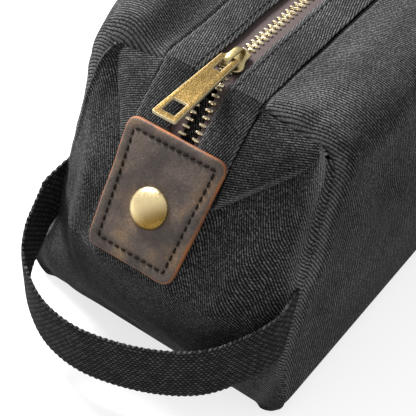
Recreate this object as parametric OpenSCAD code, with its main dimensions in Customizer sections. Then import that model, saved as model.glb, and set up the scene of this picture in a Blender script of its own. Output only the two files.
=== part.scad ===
// Canvas shaving kit bag with a lengthwise zip, leather end patches and a webbing end handle.
// X runs along the bag, with the handle at the -X end. Y runs across it and Z is up.
// The origin is the centre of the base, on the surface that the bag stands on.

/* [Bag] */
// Length of the base between its two end seams
bag_length = 250; // [200:1:320]
// Width of the bag at its base
bag_width = 124; // [108:1:160]
// Height of the top panels at the zip
bag_height = 110; // [100:1:140]
// How far the top of each end leans in from the end of the base
end_setback = 35; // [28:1:42]
// How far the middle of each end panel swells past its bottom seam
end_bulge = 14; // [6:1:20]
// How far each side panel leans in by the time it reaches its top edge
side_lean = 8; // [2:1:14]
// How far the middle of each side panel swells
side_bulge = 4; // [0:0.5:8]
// Radius of the soft bottom edges
base_edge_r = 10; // [6:1:16]
// Radius of the soft top edges
top_edge_r = 14; // [10:1:18]
// Rise of the top panels from their outer edge to the zip
top_rise = 4; // [1:0.5:8]

/* [Cloth] */
// Thickness of the canvas
canvas_t = 1.6; // [0.8:0.1:2.2]
// Thickness of the lining
lining_t = 0.6; // [0.4:0.1:1]
// Space left between layers and between neighbouring pieces
layer_gap = 0.35; // [0.3:0.05:0.6]
// Height of the slip pocket on the lining
pocket_h = 62; // [40:1:75]
// Length of the slip pocket
pocket_l = 130; // [80:1:170]
// Width of the binding tape over each corner seam
binding_w = 9; // [6:0.5:12]

/* [Zip] */
// Width of the gap between the two facings
facing_gap = 13; // [12:0.5:16]
// Width of each canvas facing beside the zip
facing_w = 14; // [10:0.5:16]
// Thickness of the zip tape
tape_t = 0.7; // [0.5:0.1:1]
// Distance between neighbouring teeth on one row
tooth_pitch = 2.65; // [2.4:0.05:3]
// Length of a tooth across the zip
tooth_l = 3.4; // [3:0.1:4]
// Thickness of a tooth along the zip
tooth_t = 0.9; // [0.7:0.05:1]
// Height of a tooth
tooth_h = 2.2; // [1.8:0.1:2.4]
// How far a closed tooth reaches past the middle of the zip
tooth_mesh = 0.7; // [0.4:0.1:0.9]
// How far the rows stand apart where they leave the slider
open_gap = 2; // [1:0.1:2.4]
// Place of the slider's middle along the bag
slider_x = -77; // [-80:1:-60]
// Length of the slider
slider_l = 11; // [9:0.5:13]
// Width of the slider
slider_w = 10.6; // [10.2:0.2:11.4]
// Thickness of the slider's plates
slider_plate_t = 1; // [0.8:0.1:1.2]
// Height of the slider's bridge over its top plate
bridge_h = 3.4; // [3:0.1:4.5]

/* [Pull tab] */
// Length of the pull tab
tab_l = 38; // [28:1:42]
// Width of the tab at its free end
tab_w = 9.6; // [8:0.1:11]
// Width of the tab at the bridge
tab_hinge_w = 7.6; // [6.8:0.1:9]
// Thickness of the tab
tab_t = 1.3; // [1:0.1:1.6]
// Length of the window near the free end
window_l = 6.4; // [4:0.1:8]
// Width of the window near the free end
window_w = 5.4; // [4:0.1:6]

/* [End patches] */
// Width of each leather patch along its top edge
patch_w = 43; // [40:1:46]
// Width of each leather patch along its bottom edge
patch_end_w = 37; // [30:1:46]
// Length of each leather patch down the end
patch_l = 49; // [42:1:50]
// Thickness of the leather
patch_t = 2.2; // [1.6:0.1:2.8]
// Radius of the patch corners
patch_r = 5; // [3:0.5:8]
// Distance of the stitches from the patch edge
stitch_inset = 4; // [3:0.5:6]
// Distance between neighbouring stitches
stitch_pitch = 3; // [2.4:0.1:4]
// Diameter of the domed rivet cap
rivet_d = 15.5; // [10:0.5:16]
// Height of the rivet's dome
rivet_h = 3.4; // [2:0.1:4]
// Diameter of the rivet's post
post_d = 4; // [3:0.5:5]
// Distance of the rivet from the patch's top edge
rivet_down = 27; // [20:1:30]

/* [Handle] */
// Width of the webbing
webbing_w = 26; // [20:1:30]
// Thickness of the webbing
webbing_t = 1.8; // [1.4:0.1:2.4]
// Height of the middle of the handle where it is sewn in
handle_z = 50; // [44:1:56]
// How far the handle reaches past the end of the base
handle_reach = 33; // [26:1:44]
// Height of the middle of the handle at its furthest point
handle_low_z = 21; // [17:1:30]

/* [Hidden] */
$fn = 48;

canvas_colour = [0.19, 0.19, 0.2];
facing_colour = [0.26, 0.26, 0.27];
lining_colour = [0.36, 0.35, 0.33];
tape_colour = [0.2, 0.14, 0.13];
teeth_colour = [0.62, 0.54, 0.36];
brass_colour = [0.6, 0.48, 0.25];
leather_colour = [0.32, 0.24, 0.2];
thread_colour = [0.16, 0.12, 0.1];
webbing_colour = [0.22, 0.22, 0.23];

half_l = bag_length / 2;
half_w = bag_width / 2;
top_edge_y = half_w - side_lean - top_edge_r;
top_edge_z = bag_height - top_rise - top_edge_r;
// The fold line of each top panel is at the middle of the rounded top edge.
fold_y = top_edge_y + top_edge_r * cos(45);
fold_z = top_edge_z + top_edge_r * sin(45);
top_half_l = half_l - end_setback;
facing_in_y = facing_gap / 2;
facing_out_y = facing_in_y + facing_w;
lining_d = canvas_t + layer_gap;
inside_d = lining_d + lining_t + layer_gap;
end_lining_d = inside_d;
end_inside_d = end_lining_d + lining_t + 2 * layer_gap;

// The patch lies on a flat slope that runs down each end from this line.
slope_angle = 52;
slope_z = bag_height - 16;
slope_x = half_l - end_setback + 17;
swell_z = slope_z - 49;
lean_z = swell_z - 15;

// Layers of the zip, measured down from the top of the facings.
tape_z = bag_height - canvas_t - layer_gap - tape_t;
tooth_mid_z = tape_z + tape_t / 2;
plate_gap_z = tooth_h / 2 + 0.35;
slider_top_z = tooth_mid_z + plate_gap_z + slider_plate_t;
tab_pivot_x = slider_x - 3.6;
tab_bar_r = 0.7;
tab_pivot_z = slider_top_z + 1.7;

function clamp01(a) = min(1, max(0, a));
function mix(a, b, k) = a * (1 - k) + b * k;

// How far the end seam has leant in at height z.
function lean_in(z) = end_setback * pow(clamp01((z - lean_z) / (fold_z - lean_z)), 1.25);

// Outline of one half of the bag across its width, as [y, z]: k runs from 0 to 1 round the bottom
// edge, to 2 up the side, to 3 round the top edge, and to 4 along the top to the facing. d is the
// depth below the outer face.
function outline(k, d) =
    k < 1 ? [half_w - base_edge_r + (base_edge_r - d) * sin(90 * k),
             base_edge_r - (base_edge_r - d) * cos(90 * k)] :
    k < 2 ? [half_w - d - side_lean * (k - 1), mix(base_edge_r, top_edge_z, k - 1)] :
    k < 3 ? [top_edge_y + (top_edge_r - d) * cos(90 * (k - 2)),
             top_edge_z + (top_edge_r - d) * sin(90 * (k - 2))] :
    [mix(top_edge_y, facing_out_y + layer_gap, k - 3), mix(bag_height - top_rise, bag_height, k - 3) - d];

function swell(k, x) = (k > 1 && k < 2) ? side_bulge * sin(180 * (k - 1)) * (1 - pow(x / half_l, 2)) : 0;

// Point on the wrap at k round its outline and s from the near end (0) to the far end (1). trim is
// the distance kept from the end seams.
function wrap_point(k, s, d, trim, side) =
    let (o = outline(k, d), e = half_l - lean_in(min(outline(k, 0)[1], fold_z)) - trim, x = mix(-e, e, s))
    [x, side * (o[0] + swell(k, x)), o[1]];

// Distance of the end's middle line from the bag's centre, at height z.
function end_reach(z) =
    z > slope_z ? mix(slope_x, top_half_l, (z - slope_z) / (bag_height - slope_z)) :
    min(half_l + end_bulge * sin(90 * clamp01(z / swell_z)), slope_x + (slope_z - z) / tan(slope_angle));

function top_z(y) = abs(y) < facing_out_y ? bag_height :
    abs(y) < top_edge_y ? mix(bag_height, bag_height - top_rise,
                             (abs(y) - facing_out_y) / (top_edge_y - facing_out_y)) :
    top_edge_z + sqrt(pow(top_edge_r, 2) - pow(abs(y) - top_edge_y, 2));

// Point on an end panel's outer face: u runs across from -1 to 1, and v up from 0 to 1.
function end_point(u, v, way) =
    let (o = outline(2.5 * v, 0), y = u * o[0], z = o[1] * top_z(u * fold_y) / fold_z,
         flat = facing_out_y / fold_y + 0.03, a = clamp01((abs(u) - flat) / (1 - flat)))
    [way * mix(end_reach(z), half_l - lean_in(o[1]), a * a), y, z];

function unit(v) = v / norm(v);
function row_normal(p, i, j) =
    let (n = len(p) - 1, m = len(p[0]) - 1)
    unit(cross(p[min(i + 1, n)][j] - p[max(i - 1, 0)][j], p[i][min(j + 1, m)] - p[i][max(j - 1, 0)]));

// Closed solid between two grids of points that have the same rows and columns.
module quilt(a, b) {
    rows = len(a);
    cols = len(a[0]);
    size = rows * cols;
    top = [for (i = [0:rows - 2], j = [0:cols - 2], half = [0, 1])
        let (p = i * cols + j) half == 0 ? [p, p + 1, p + cols + 1] : [p, p + cols + 1, p + cols]];
    under = [for (f = top) [f[2] + size, f[1] + size, f[0] + size]];
    rim = concat([for (j = [0:cols - 2]) j], [for (i = [0:rows - 2]) i * cols + cols - 1],
        [for (j = [cols - 1:-1:1]) (rows - 1) * cols + j], [for (i = [rows - 1:-1:1]) i * cols]);
    wall = [for (k = [0:len(rim) - 1], half = [0, 1])
        let (p = rim[k], q = rim[(k + 1) % len(rim)]) half == 0 ? [q, p, p + size] : [q, p + size, q + size]];
    polyhedron(points = concat([for (r = a) each r], [for (r = b) each r]),
        faces = concat(top, under, wall), convexity = 6);
}

// The same quilt, turned so that its faces point out whichever way its grid was laid.
module cloth(a, b, flip) {
    if (flip) quilt([for (r = a) [for (j = [len(r) - 1:-1:0]) r[j]]],
        [for (r = b) [for (j = [len(r) - 1:-1:0]) r[j]]]);
    else quilt(a, b);
}

function offset_grid(p, d, sign) = [for (i = [0:len(p) - 1])
    [for (j = [0:len(p[0]) - 1]) p[i][j] - sign * d * row_normal(p, i, j)]];

module wrap_piece(k0, k1, d0, d1, trim, side, rows = 12, cols = 10) {
    outer = [for (i = [0:rows]) [for (j = [0:cols]) wrap_point(mix(k0, k1, i / rows), j / cols, d0, trim, side)]];
    inner = [for (i = [0:rows]) [for (j = [0:cols]) wrap_point(mix(k0, k1, i / rows), j / cols, d1, trim, side)]];
    cloth(outer, inner, side < 0);
}

module end_piece(u0, u1, v0, v1, d0, d1, way, rows = 16, cols = 16) {
    face = [for (i = [0:rows]) [for (j = [0:cols]) end_point(mix(u0, u1, j / cols), mix(v0, v1, i / rows), way)]];
    cloth(offset_grid(face, d0, -way), offset_grid(face, d1, -way), way > 0);
}

// Places its children on an end's slope, with X running down it and Z out of it.
module on_slope(way, down, out) {
    mirror([way < 0 ? 0 : 1, 0, 0])
        translate([-slope_x, 0, slope_z])
            rotate([0, -slope_angle, 0])
                translate([-down, 0, out])
                    children();
}

module round_plate(l, w, r, t) {
    linear_extrude(t) {
        square([l - 2 * r, w], center = true);
        square([l, w - 2 * r], center = true);
        for (x = [-1, 1], y = [-1, 1])
            translate([x * (l / 2 - r), y * (w / 2 - r)]) circle(r);
    }
}

// ---- Canvas ----

module base_panel() {
    color(canvas_colour)
        translate([-half_l + inside_d, -half_w + base_edge_r + layer_gap, 0])
            cube([bag_length - 2 * inside_d, bag_width - 2 * base_edge_r - 2 * layer_gap, canvas_t]);
}

module side_panel(side) {
    color(canvas_colour) wrap_piece(0, 2.5, 0, canvas_t, canvas_t + 2 * layer_gap, side, 16);
}

module end_panel(way) {
    color(canvas_colour)
        difference() {
            end_piece(-1, 1, 0, 1, 0, canvas_t, way);
            zip_end_room(way);
            on_slope(way, rivet_down, -3 * canvas_t) cylinder(d = post_d + 0.4, h = 6 * canvas_t, $fn = 24);
        }
}

// Space in the end panel for the facings and the tapes under them.
module zip_end_room(way) {
    room_w = 2 * (facing_out_y + layer_gap);
    on_slope(way, facing_tuck + layer_gap, -20)
        translate([0, -room_w / 2, 0]) cube([60, room_w, 40]);
}

module top_panel(side) {
    color(canvas_colour) wrap_piece(2.5 + fold_gap, 4, 0, canvas_t, 3 * layer_gap, side, 9);
}
fold_gap = 0.03;

// Facings that run straight along the top.
module facing(side) {
    color(facing_colour)
        translate([-top_half_l + layer_gap, side > 0 ? facing_in_y : -facing_out_y, bag_height - canvas_t])
            cube([2 * (top_half_l - layer_gap), facing_w, canvas_t]);
}

// Outline of a layer of the zip over the bend at each end, in X and Z.
facing_tuck = 5;
function bend_line(d) = [
    [-top_half_l - layer_gap, bag_height - d],
    [-top_half_l - 2 + d * 0.35, bag_height - d],
    [-slope_x + d * 0.7, slope_z - d * 0.7],
    [-slope_x - facing_tuck * cos(slope_angle) + d * sin(slope_angle),
     slope_z - facing_tuck * sin(slope_angle) - d * cos(slope_angle)]
];

module bend_layer(way, d0, d1, y0, y1) {
    a = bend_line(d0);
    b = bend_line(d1);
    mirror([way < 0 ? 0 : 1, 0, 0])
        translate([0, y1, 0])
            rotate([90, 0, 0])
                linear_extrude(y1 - y0)
                    polygon(concat(a, [b[3], b[2], b[1], b[0]]));
}

module zip_facings(way) {
    color(facing_colour)
        for (s = [-1, 1])
            bend_layer(way, 0, canvas_t, s > 0 ? facing_in_y : -facing_out_y, s > 0 ? facing_out_y : -facing_in_y);
}

// ---- Zip ----

tape_d = canvas_t + layer_gap;
tape_out_y = facing_out_y - 2;

// How far a row stands out from its closed place, at x.
function row_open(x) = x > slider_x ? 0 :
    open_gap * mix(0.3, 1, clamp01((x + slope_x) / (slider_x + slope_x))) * clamp01((slider_x - x) / 3);
function tape_in_y(x) = tooth_l - tooth_mesh - 1.2 + row_open(x);

module zip_tape(side) {
    x0 = -top_half_l + layer_gap;
    inner = [for (k = [0:8]) let (x = mix(x0, slider_x, k / 8)) [x, side * tape_in_y(x)]];
    color(tape_colour)
        translate([0, 0, tape_z])
            linear_extrude(tape_t)
                polygon(concat(inner, [[-x0, side * tape_in_y(0)], [-x0, side * tape_out_y], [x0, side * tape_out_y]]));
}

module zip_tapes(way) {
    y0 = tape_in_y(way < 0 ? -top_half_l : 0);
    color(tape_colour)
        for (s = [-1, 1])
            bend_layer(way, tape_d, tape_d + tape_t, s > 0 ? y0 : -tape_out_y, s > 0 ? tape_out_y : -y0);
}

// One tooth, clamped on the edge of its tape, with its tip towards the other row.
module tooth(side, open) {
    tape_slot = tape_t + 0.2;
    y_tip = open - tooth_mesh;
    y_tail = y_tip + tooth_l;
    y_slot = tooth_l - tooth_mesh - 1.2 + open - 0.1;
    mirror([0, side > 0 ? 0 : 1, 0])
        translate([-tooth_t / 2, 0, 0])
            difference() {
                translate([0, y_tip, -tooth_h / 2]) cube([tooth_t, tooth_l, tooth_h]);
                translate([-1, y_slot, -tape_slot / 2]) cube([tooth_t + 2, y_tail, tape_slot]);
            }
}

module zip_teeth(side) {
    first = -top_half_l + 1.5;
    count = floor(2 * (top_half_l - 1.5) / tooth_pitch);
    color(teeth_colour)
        for (i = [0:count - 1]) {
            x = first + (i + (side > 0 ? 0.5 : 0)) * tooth_pitch;
            if (abs(x - slider_x) > slider_l / 2 + tooth_t) translate([x, 0, tooth_mid_z]) tooth(side, row_open(x));
        }
}

// Teeth on the slope, from just below the bend to just under the patch.
module end_teeth(way) {
    run = norm([slope_x - top_half_l - 2, bag_height - slope_z]);
    tilt = atan2(bag_height - slope_z, slope_x - top_half_l - 2);
    count = floor((run - 3) / tooth_pitch);
    color(teeth_colour)
        mirror([way < 0 ? 0 : 1, 0, 0])
            translate([-slope_x + 0.7 * (tape_d + tape_t / 2), 0, slope_z - 0.7 * (tape_d + tape_t / 2)])
                rotate([0, -tilt, 0])
                    for (i = [0:count - 1], s = [-1, 1])
                        translate([1.6 + (i + (s > 0 ? 0.5 : 0)) * tooth_pitch, 0, 0])
                            tooth(s, way < 0 ? open_gap * 0.5 : 0);
}

module slider_plate(z) {
    translate([slider_x, 0, z]) round_plate(slider_l, slider_w, 2.2, slider_plate_t);
}

module slider_body() {
    post_r = 0.55;
    rail_w = 0.5;
    rail_h = plate_gap_z - tape_t / 2 - 0.15;
    bridge_w = 3;
    color(brass_colour) {
        slider_plate(slider_top_z - slider_plate_t);
        slider_plate(tooth_mid_z - plate_gap_z - slider_plate_t);
        // The wedge that parts the rows.
        translate([slider_x - slider_l / 2 + 1.6, 0, tooth_mid_z - plate_gap_z - 0.1])
            cylinder(r = post_r, h = 2 * plate_gap_z + 0.2);
        for (s = [-1, 1])
            translate([slider_x - slider_l / 2 + 2.2, s * (slider_w / 2 - rail_w / 2) - rail_w / 2,
                slider_top_z - slider_plate_t - rail_h])
                cube([slider_l - 4.4, rail_w, rail_h + 0.1]);
        // The bridge that holds the pull tab.
        difference() {
            translate([slider_x - 5.2, -bridge_w / 2, slider_top_z - 0.1]) cube([9.4, bridge_w, bridge_h + 0.1]);
            translate([slider_x - 4.4, -bridge_w, slider_top_z]) cube([7.2, 2 * bridge_w, bridge_h - 0.8]);
        }
    }
}

module pull_tab() {
    window_end = 2.2;
    hinge_window_l = 8.5;
    color(brass_colour)
        translate([tab_pivot_x, 0, tab_pivot_z]) {
            difference() {
                translate([0, 0, -tab_t / 2])
                    linear_extrude(tab_t)
                        polygon([[1.1, -tab_hinge_w / 2], [1.1, tab_hinge_w / 2],
                            [-tab_l + 1.1, tab_w / 2], [-tab_l + 1.1, -tab_w / 2]]);
                translate([-hinge_window_l, -1.95, -5]) cube([hinge_window_l + 5, 3.9, 10]);
                translate([-tab_l + 1.1 + window_end, -window_w / 2, -5]) cube([window_l, window_w, 10]);
            }
            // The round bar that turns under the bridge.
            translate([0, 2.3, 0]) rotate([90, 0, 0]) cylinder(r = tab_bar_r, h = 4.6);
        }
}

// ---- Patches and rivets ----

// Half width of a patch at distance down from its top edge.
function patch_half_w(down) = mix(patch_w, patch_end_w, down / patch_l) / 2;

module patch(way) {
    r = patch_r;
    top_w = patch_half_w(r) - r;
    end_w = patch_half_w(patch_l - r) - r;
    color(leather_colour)
        difference() {
            on_slope(way, 0, layer_gap)
                linear_extrude(patch_t)
                    offset(r = r)
                        polygon([[-r, -top_w], [-r, top_w], [r - patch_l, end_w], [r - patch_l, -end_w]]);
            on_slope(way, rivet_down, -1) cylinder(d = post_d + 0.1, h = 10);
            patch_stitches(way, stitch_l = stitch_pitch * 0.66 + 0.3, w = 0.9, out = layer_gap + patch_t - 0.4);
        }
}

// Rows of stitches along the four edges of a patch.
module patch_stitches(way, stitch_l, w, out) {
    top_w = patch_half_w(stitch_inset) - stitch_inset;
    end_w = patch_half_w(patch_l - stitch_inset) - stitch_inset;
    on_slope(way, 0, out)
        for (s = [-1, 1]) {
            stitch_row([-stitch_inset, s * top_w], [stitch_inset - patch_l, s * end_w], stitch_l, w);
            stitch_row(s > 0 ? [-stitch_inset, -top_w] : [stitch_inset - patch_l, -end_w],
                s > 0 ? [-stitch_inset, top_w] : [stitch_inset - patch_l, end_w], stitch_l, w);
        }
}

module stitch_row(p, q, stitch_l, w) {
    run = norm(q - p);
    count = floor((run - stitch_pitch) / stitch_pitch);
    translate([p[0], p[1], 0])
        rotate([0, 0, atan2(q[1] - p[1], q[0] - p[0])])
            for (i = [0:count - 1])
                translate([run / 2 + (i - (count - 1) / 2) * stitch_pitch - stitch_l / 2, -w / 2, 0])
                    cube([stitch_l, w, 1]);
}

module patch_thread(way) {
    color(thread_colour)
        patch_stitches(way, stitch_l = stitch_pitch * 0.66, w = 0.6, out = layer_gap + patch_t - 0.35);
}

module rivet_cap(way) {
    dome_r = (pow(rivet_d / 2, 2) + pow(rivet_h, 2)) / (2 * rivet_h);
    color(brass_colour)
        on_slope(way, rivet_down, layer_gap + patch_t + 0.02) {
            intersection() {
                cylinder(d = rivet_d, h = rivet_h + 1);
                translate([0, 0, rivet_h - dome_r]) sphere(dome_r, $fn = 96);
            }
            translate([0, 0, -post_l]) cylinder(d = post_d, h = post_l + 0.5);
        }
}
post_l = patch_t + layer_gap + end_inside_d + 0.5;

module rivet_back(way) {
    back_t = 1;
    color(brass_colour)
        on_slope(way, rivet_down, -end_inside_d - back_t)
            difference() {
                cylinder(d = rivet_d - 2, h = back_t);
                translate([0, 0, -1]) cylinder(d = post_d + 0.1, h = back_t + 2);
            }
}

// ---- Handle ----

// The handle's middle line, from the right seam to the left one, as [x, y, z] points.
handle_x = -(half_l - lean_in(handle_z));
handle_y = half_w - side_lean * (handle_z - base_edge_r) / (top_edge_z - base_edge_r);
handle_far_x = -half_l - handle_reach;
handle_route = [
    [handle_x - 1.5, -handle_y, handle_z],
    [mix(handle_x, handle_far_x, 0.27), -handle_y + 3, mix(handle_z, handle_low_z, 0.33)],
    [mix(handle_x, handle_far_x, 0.55), -handle_y + 13, mix(handle_z, handle_low_z, 0.68)],
    [mix(handle_x, handle_far_x, 0.8), -handle_y + 29, mix(handle_z, handle_low_z, 0.9)],
    [mix(handle_x, handle_far_x, 0.96), -handle_y + 47, handle_low_z + 0.3],
    [handle_far_x, 8, handle_low_z],
    [mix(handle_x, handle_far_x, 0.9), handle_y - 32, handle_low_z + 1],
    [mix(handle_x, handle_far_x, 0.64), handle_y - 11, mix(handle_z, handle_low_z, 0.82)],
    [mix(handle_x, handle_far_x, 0.32), handle_y, mix(handle_z, handle_low_z, 0.5)],
    [handle_x - 1.5, handle_y, handle_z]
];

function spline(p, t) =
    let (n = len(p) - 1, i = min(floor(t * n), n - 1), f = t * n - i,
         a = p[max(i - 1, 0)], b = p[i], c = p[i + 1], d = p[min(i + 2, n)])
    0.5 * (2 * b + (c - a) * f + (2 * a - 5 * b + 4 * c - d) * f * f + (3 * b - a - 3 * c + d) * pow(f, 3));

// The webbing stands up along most of the loop and follows the seam's slope at its ends.
function webbing_up(t) =
    let (k = pow(abs(2 * t - 1), 3)) unit([0.36 * k, 0, 1]);

module webbing(t0, t1, steps) {
    line = [for (i = [0:steps]) let (t = mix(t0, t1, i / steps))
        let (p = spline(handle_route, t), q = spline(handle_route, min(t + 0.004, 1)),
             o = spline(handle_route, max(t - 0.004, 0)), up = webbing_up(t), out = unit(cross(q - o, up)))
        [p, up, out]];
    face = function (s) [for (c = line) [for (k = [-1, 1]) c[0] + k * webbing_w / 2 * c[1] + s * webbing_t / 2 * c[2]]];
    color(webbing_colour) quilt(face(1), face(-1));
}
sewn_share = 0.15;

module handle_webbing() {
    webbing(sewn_share, 1 - sewn_share, 36);
}

// The sewn ends stop at the end panel, where the seam takes them in.
module handle_sewn_ends() {
    difference() {
        union() {
            webbing(0, sewn_share - 0.003, 7);
            webbing(1 - sewn_share + 0.003, 1, 7);
        }
        end_piece(-1, 1, 0, 1, -layer_gap, 6 * canvas_t, -1);
    }
}

// ---- Lining ----

module lining_base() {
    color(lining_colour)
        translate([-half_l + 2 * inside_d, -half_w + base_edge_r + 2, lining_d])
            cube([bag_length - 4 * inside_d, bag_width - 2 * base_edge_r - 4, lining_t]);
}

module lining_side(side) {
    color(lining_colour) wrap_piece(0.1, 2.3, lining_d, lining_d + lining_t, inside_d + 3, side, 14);
}

module lining_end(way) {
    color(lining_colour)
        difference() {
            end_piece(-0.875, 0.875, 1 / 16, 15 / 16, end_lining_d, end_lining_d + lining_t, way, 14, 14);
            on_slope(way, rivet_down, -4 * canvas_t) cylinder(d = post_d + 0.4, h = 8 * canvas_t, $fn = 24);
            on_slope(way, facing_tuck + 1.5, -40) translate([0, -half_w, 0]) cube([60, bag_width, 80]);
            // The lining stops just above the base panel.
            translate([-bag_length, -half_w, -1]) cube([2 * bag_length, bag_width, canvas_t + layer_gap + 1]);
        }
}

module lining_top(side) {
    color(lining_colour) wrap_piece(2.62, 3.96, lining_d, lining_d + lining_t, layer_gap + 2, side, 8);
}

module pocket_piece(h0, h1, d0, d1) {
    k_of = function (z) 1 + (z - base_edge_r) / (top_edge_z - base_edge_r);
    grid = function (d) [for (i = [0:5]) [for (j = [0:6])
        let (k = k_of(mix(h0, h1, i / 5)), o = outline(k, d), x = mix(-pocket_l / 2, pocket_l / 2, j / 6))
        [x, o[0] + swell(k, x), o[1]]]];
    cloth(grid(d0), grid(d1), false);
}

module inner_pocket() {
    color(lining_colour) pocket_piece(base_edge_r + 8, base_edge_r + pocket_h, inside_d, inside_d + lining_t);
}

module pocket_binding() {
    binding_h = 6;
    color(canvas_colour)
        pocket_piece(base_edge_r + pocket_h - binding_h, base_edge_r + pocket_h,
            inside_d + lining_t + layer_gap, inside_d + 2 * lining_t + layer_gap);
}

module corner_bindings(way) {
    color(tape_colour)
        for (s = [-1, 1]) {
            u_in = 0.875 - binding_w / half_w;
            end_piece(s > 0 ? u_in : -0.875, s > 0 ? 0.875 : -u_in, 1 / 8, 13 / 16, end_inside_d, end_inside_d + lining_t, way, 11, 2);
        }
}

base_panel();
side_panel(-1);  // side_panel_right
side_panel(1);  // side_panel_left
end_panel(-1);  // near_end_panel
end_panel(1);  // far_end_panel
top_panel(-1);  // top_panel_right
top_panel(1);  // top_panel_left
facing(-1);  // facing_right
facing(1);  // facing_left
zip_facings(-1);  // near_zip_facings
zip_facings(1);  // far_zip_facings
zip_tape(-1);  // zip_tape_right
zip_tape(1);  // zip_tape_left
zip_tapes(-1);  // near_zip_tapes
zip_tapes(1);  // far_zip_tapes
zip_teeth(-1);  // zip_teeth_right
zip_teeth(1);  // zip_teeth_left
end_teeth(-1);  // near_zip_teeth
end_teeth(1);  // far_zip_teeth
slider_body();
pull_tab();
patch(-1);  // near_patch
patch(1);  // far_patch
patch_thread(-1);  // near_patch_thread
patch_thread(1);  // far_patch_thread
rivet_cap(-1);  // near_rivet_cap
rivet_cap(1);  // far_rivet_cap
rivet_back(-1);  // near_rivet_back
rivet_back(1);  // far_rivet_back
handle_webbing();
handle_sewn_ends();
lining_base();
lining_side(-1);  // lining_right
lining_side(1);  // lining_left
lining_end(-1);  // lining_near
lining_end(1);  // lining_far
lining_top(-1);  // lining_top_right
lining_top(1);  // lining_top_left
inner_pocket();
pocket_binding();
corner_bindings(-1);  // near_corner_bindings
corner_bindings(1);  // far_corner_bindings
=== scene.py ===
import math

import bmesh
import bpy
import numpy as np
from mathutils import Matrix, Vector


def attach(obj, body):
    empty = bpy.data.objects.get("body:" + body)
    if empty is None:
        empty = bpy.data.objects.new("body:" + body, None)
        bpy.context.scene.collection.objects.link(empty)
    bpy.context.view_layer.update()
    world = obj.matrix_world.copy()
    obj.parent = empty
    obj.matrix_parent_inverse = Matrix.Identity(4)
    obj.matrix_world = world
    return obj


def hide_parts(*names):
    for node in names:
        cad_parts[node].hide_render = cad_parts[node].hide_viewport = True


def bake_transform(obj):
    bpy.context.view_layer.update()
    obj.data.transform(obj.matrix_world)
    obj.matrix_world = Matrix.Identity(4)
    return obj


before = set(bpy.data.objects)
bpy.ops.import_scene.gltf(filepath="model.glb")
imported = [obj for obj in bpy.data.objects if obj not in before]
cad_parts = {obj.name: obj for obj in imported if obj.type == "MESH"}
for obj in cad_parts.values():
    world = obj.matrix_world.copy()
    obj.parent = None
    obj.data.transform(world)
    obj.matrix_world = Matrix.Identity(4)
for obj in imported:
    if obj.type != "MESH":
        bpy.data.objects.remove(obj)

bl_info = {
    "name": "Canvas Kit Bag",
    "version": (1, 0, 0),
    "blender": (4, 5, 0),
    "location": "View3D > Sidebar > Kit Bag",
    "description": "Builds the cloth, leather and brass pieces of a canvas kit bag over its packed frame",
    "category": "Object",
}

MM = 0.001
SIDES = {"right": -1, "left": 1}
ENDS = {"near": -1, "far": 1}

# Sizes of the sewn bag in millimetres, as the part's source has them.
HALF_L, HALF_W, HEIGHT = 125.0, 62.0, 110.0
END_SETBACK, END_BULGE = 35.0, 14.0
SIDE_LEAN, SIDE_BULGE = 8.0, 4.0
BASE_R, TOP_R, TOP_RISE = 10.0, 14.0, 4.0
CANVAS_T, LINING_T, GAP = 1.6, 0.6, 0.35
FACING_IN, FACING_OUT = 6.5, 20.5
TOP_Y, TOP_Z = HALF_W - SIDE_LEAN - TOP_R, HEIGHT - TOP_RISE - TOP_R
FOLD_Y, FOLD_Z = TOP_Y + TOP_R * math.cos(math.pi / 4), TOP_Z + TOP_R * math.sin(math.pi / 4)
TOP_HALF = HALF_L - END_SETBACK
SLOPE_ANGLE = math.radians(52)
SLOPE_X, SLOPE_Z, SWELL_Z, LEAN_Z = 107.0, 94.0, 45.0, 30.0
TAPE_Z, TAPE_T, TAPE_OUT = 107.35, 0.7, 18.5
TOOTH_Z, TOOTH_PITCH, OPEN_GAP = 107.7, 2.65, 2.0
SLIDER_X, SLIDER_TOP = -77.0, 110.15
TAB_X, TAB_Z, TAB_L, TAB_W = -80.6, 111.85, 38.0, 9.6
PATCH_L, PATCH_W, PATCH_END_W, PATCH_R = 49.0, 43.0, 37.0, 5.0
RIVET_D, RIVET_H, RIVET_DOWN = 15.5, 3.4, 27.0
WEB_W, WEB_T, HANDLE_Z, HANDLE_REACH, HANDLE_LOW = 26.0, 1.8, 50.0, 33.0, 21.0
LINING_D = CANVAS_T + GAP
INSIDE_D = LINING_D + LINING_T + GAP
POCKET_L, POCKET_H = 130.0, 62.0

# How far the stuffed shoulders swell out on each side, and how deep the ends sink below the folded corners and behind
# the zip.
SHOULDER = {-1: 6.0, 1: 11.5}
CORNER_HOLLOW, ZIP_HOLLOW = 7.5, 6.0

# Where the camera stands, in millimetres and degrees, and where the large lamp is, in metres.
CAMERA_AT, CAMERA_AZIMUTH, CAMERA_HEIGHT, CAMERA_ROLL = (-371.9, -196.8, 414.2), -55.1, 47.1, 2.2
LENS, SENSOR = 114.8, 36.0
KEY_SIDE, KEY_AWAY, KEY_WIDTH = (0.24, 0.72, 0.65), 1.5, 0.7
FLOOR_HALF = 4.0


# ---- Small helpers ----

def clamp01(a):
    return np.clip(a, 0.0, 1.0)


def mix(a, b, k):
    return a * (1 - k) + b * k


def ease(a, b, x):
    t = clamp01((np.asarray(x, float) - a) / (b - a))
    return t * t * (3 - 2 * t)


def hump(x, middle, width):
    """A smooth bump of height 1 at middle that fades over width."""
    return np.exp(-(((np.asarray(x, float) - middle) / width) ** 2))


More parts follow.
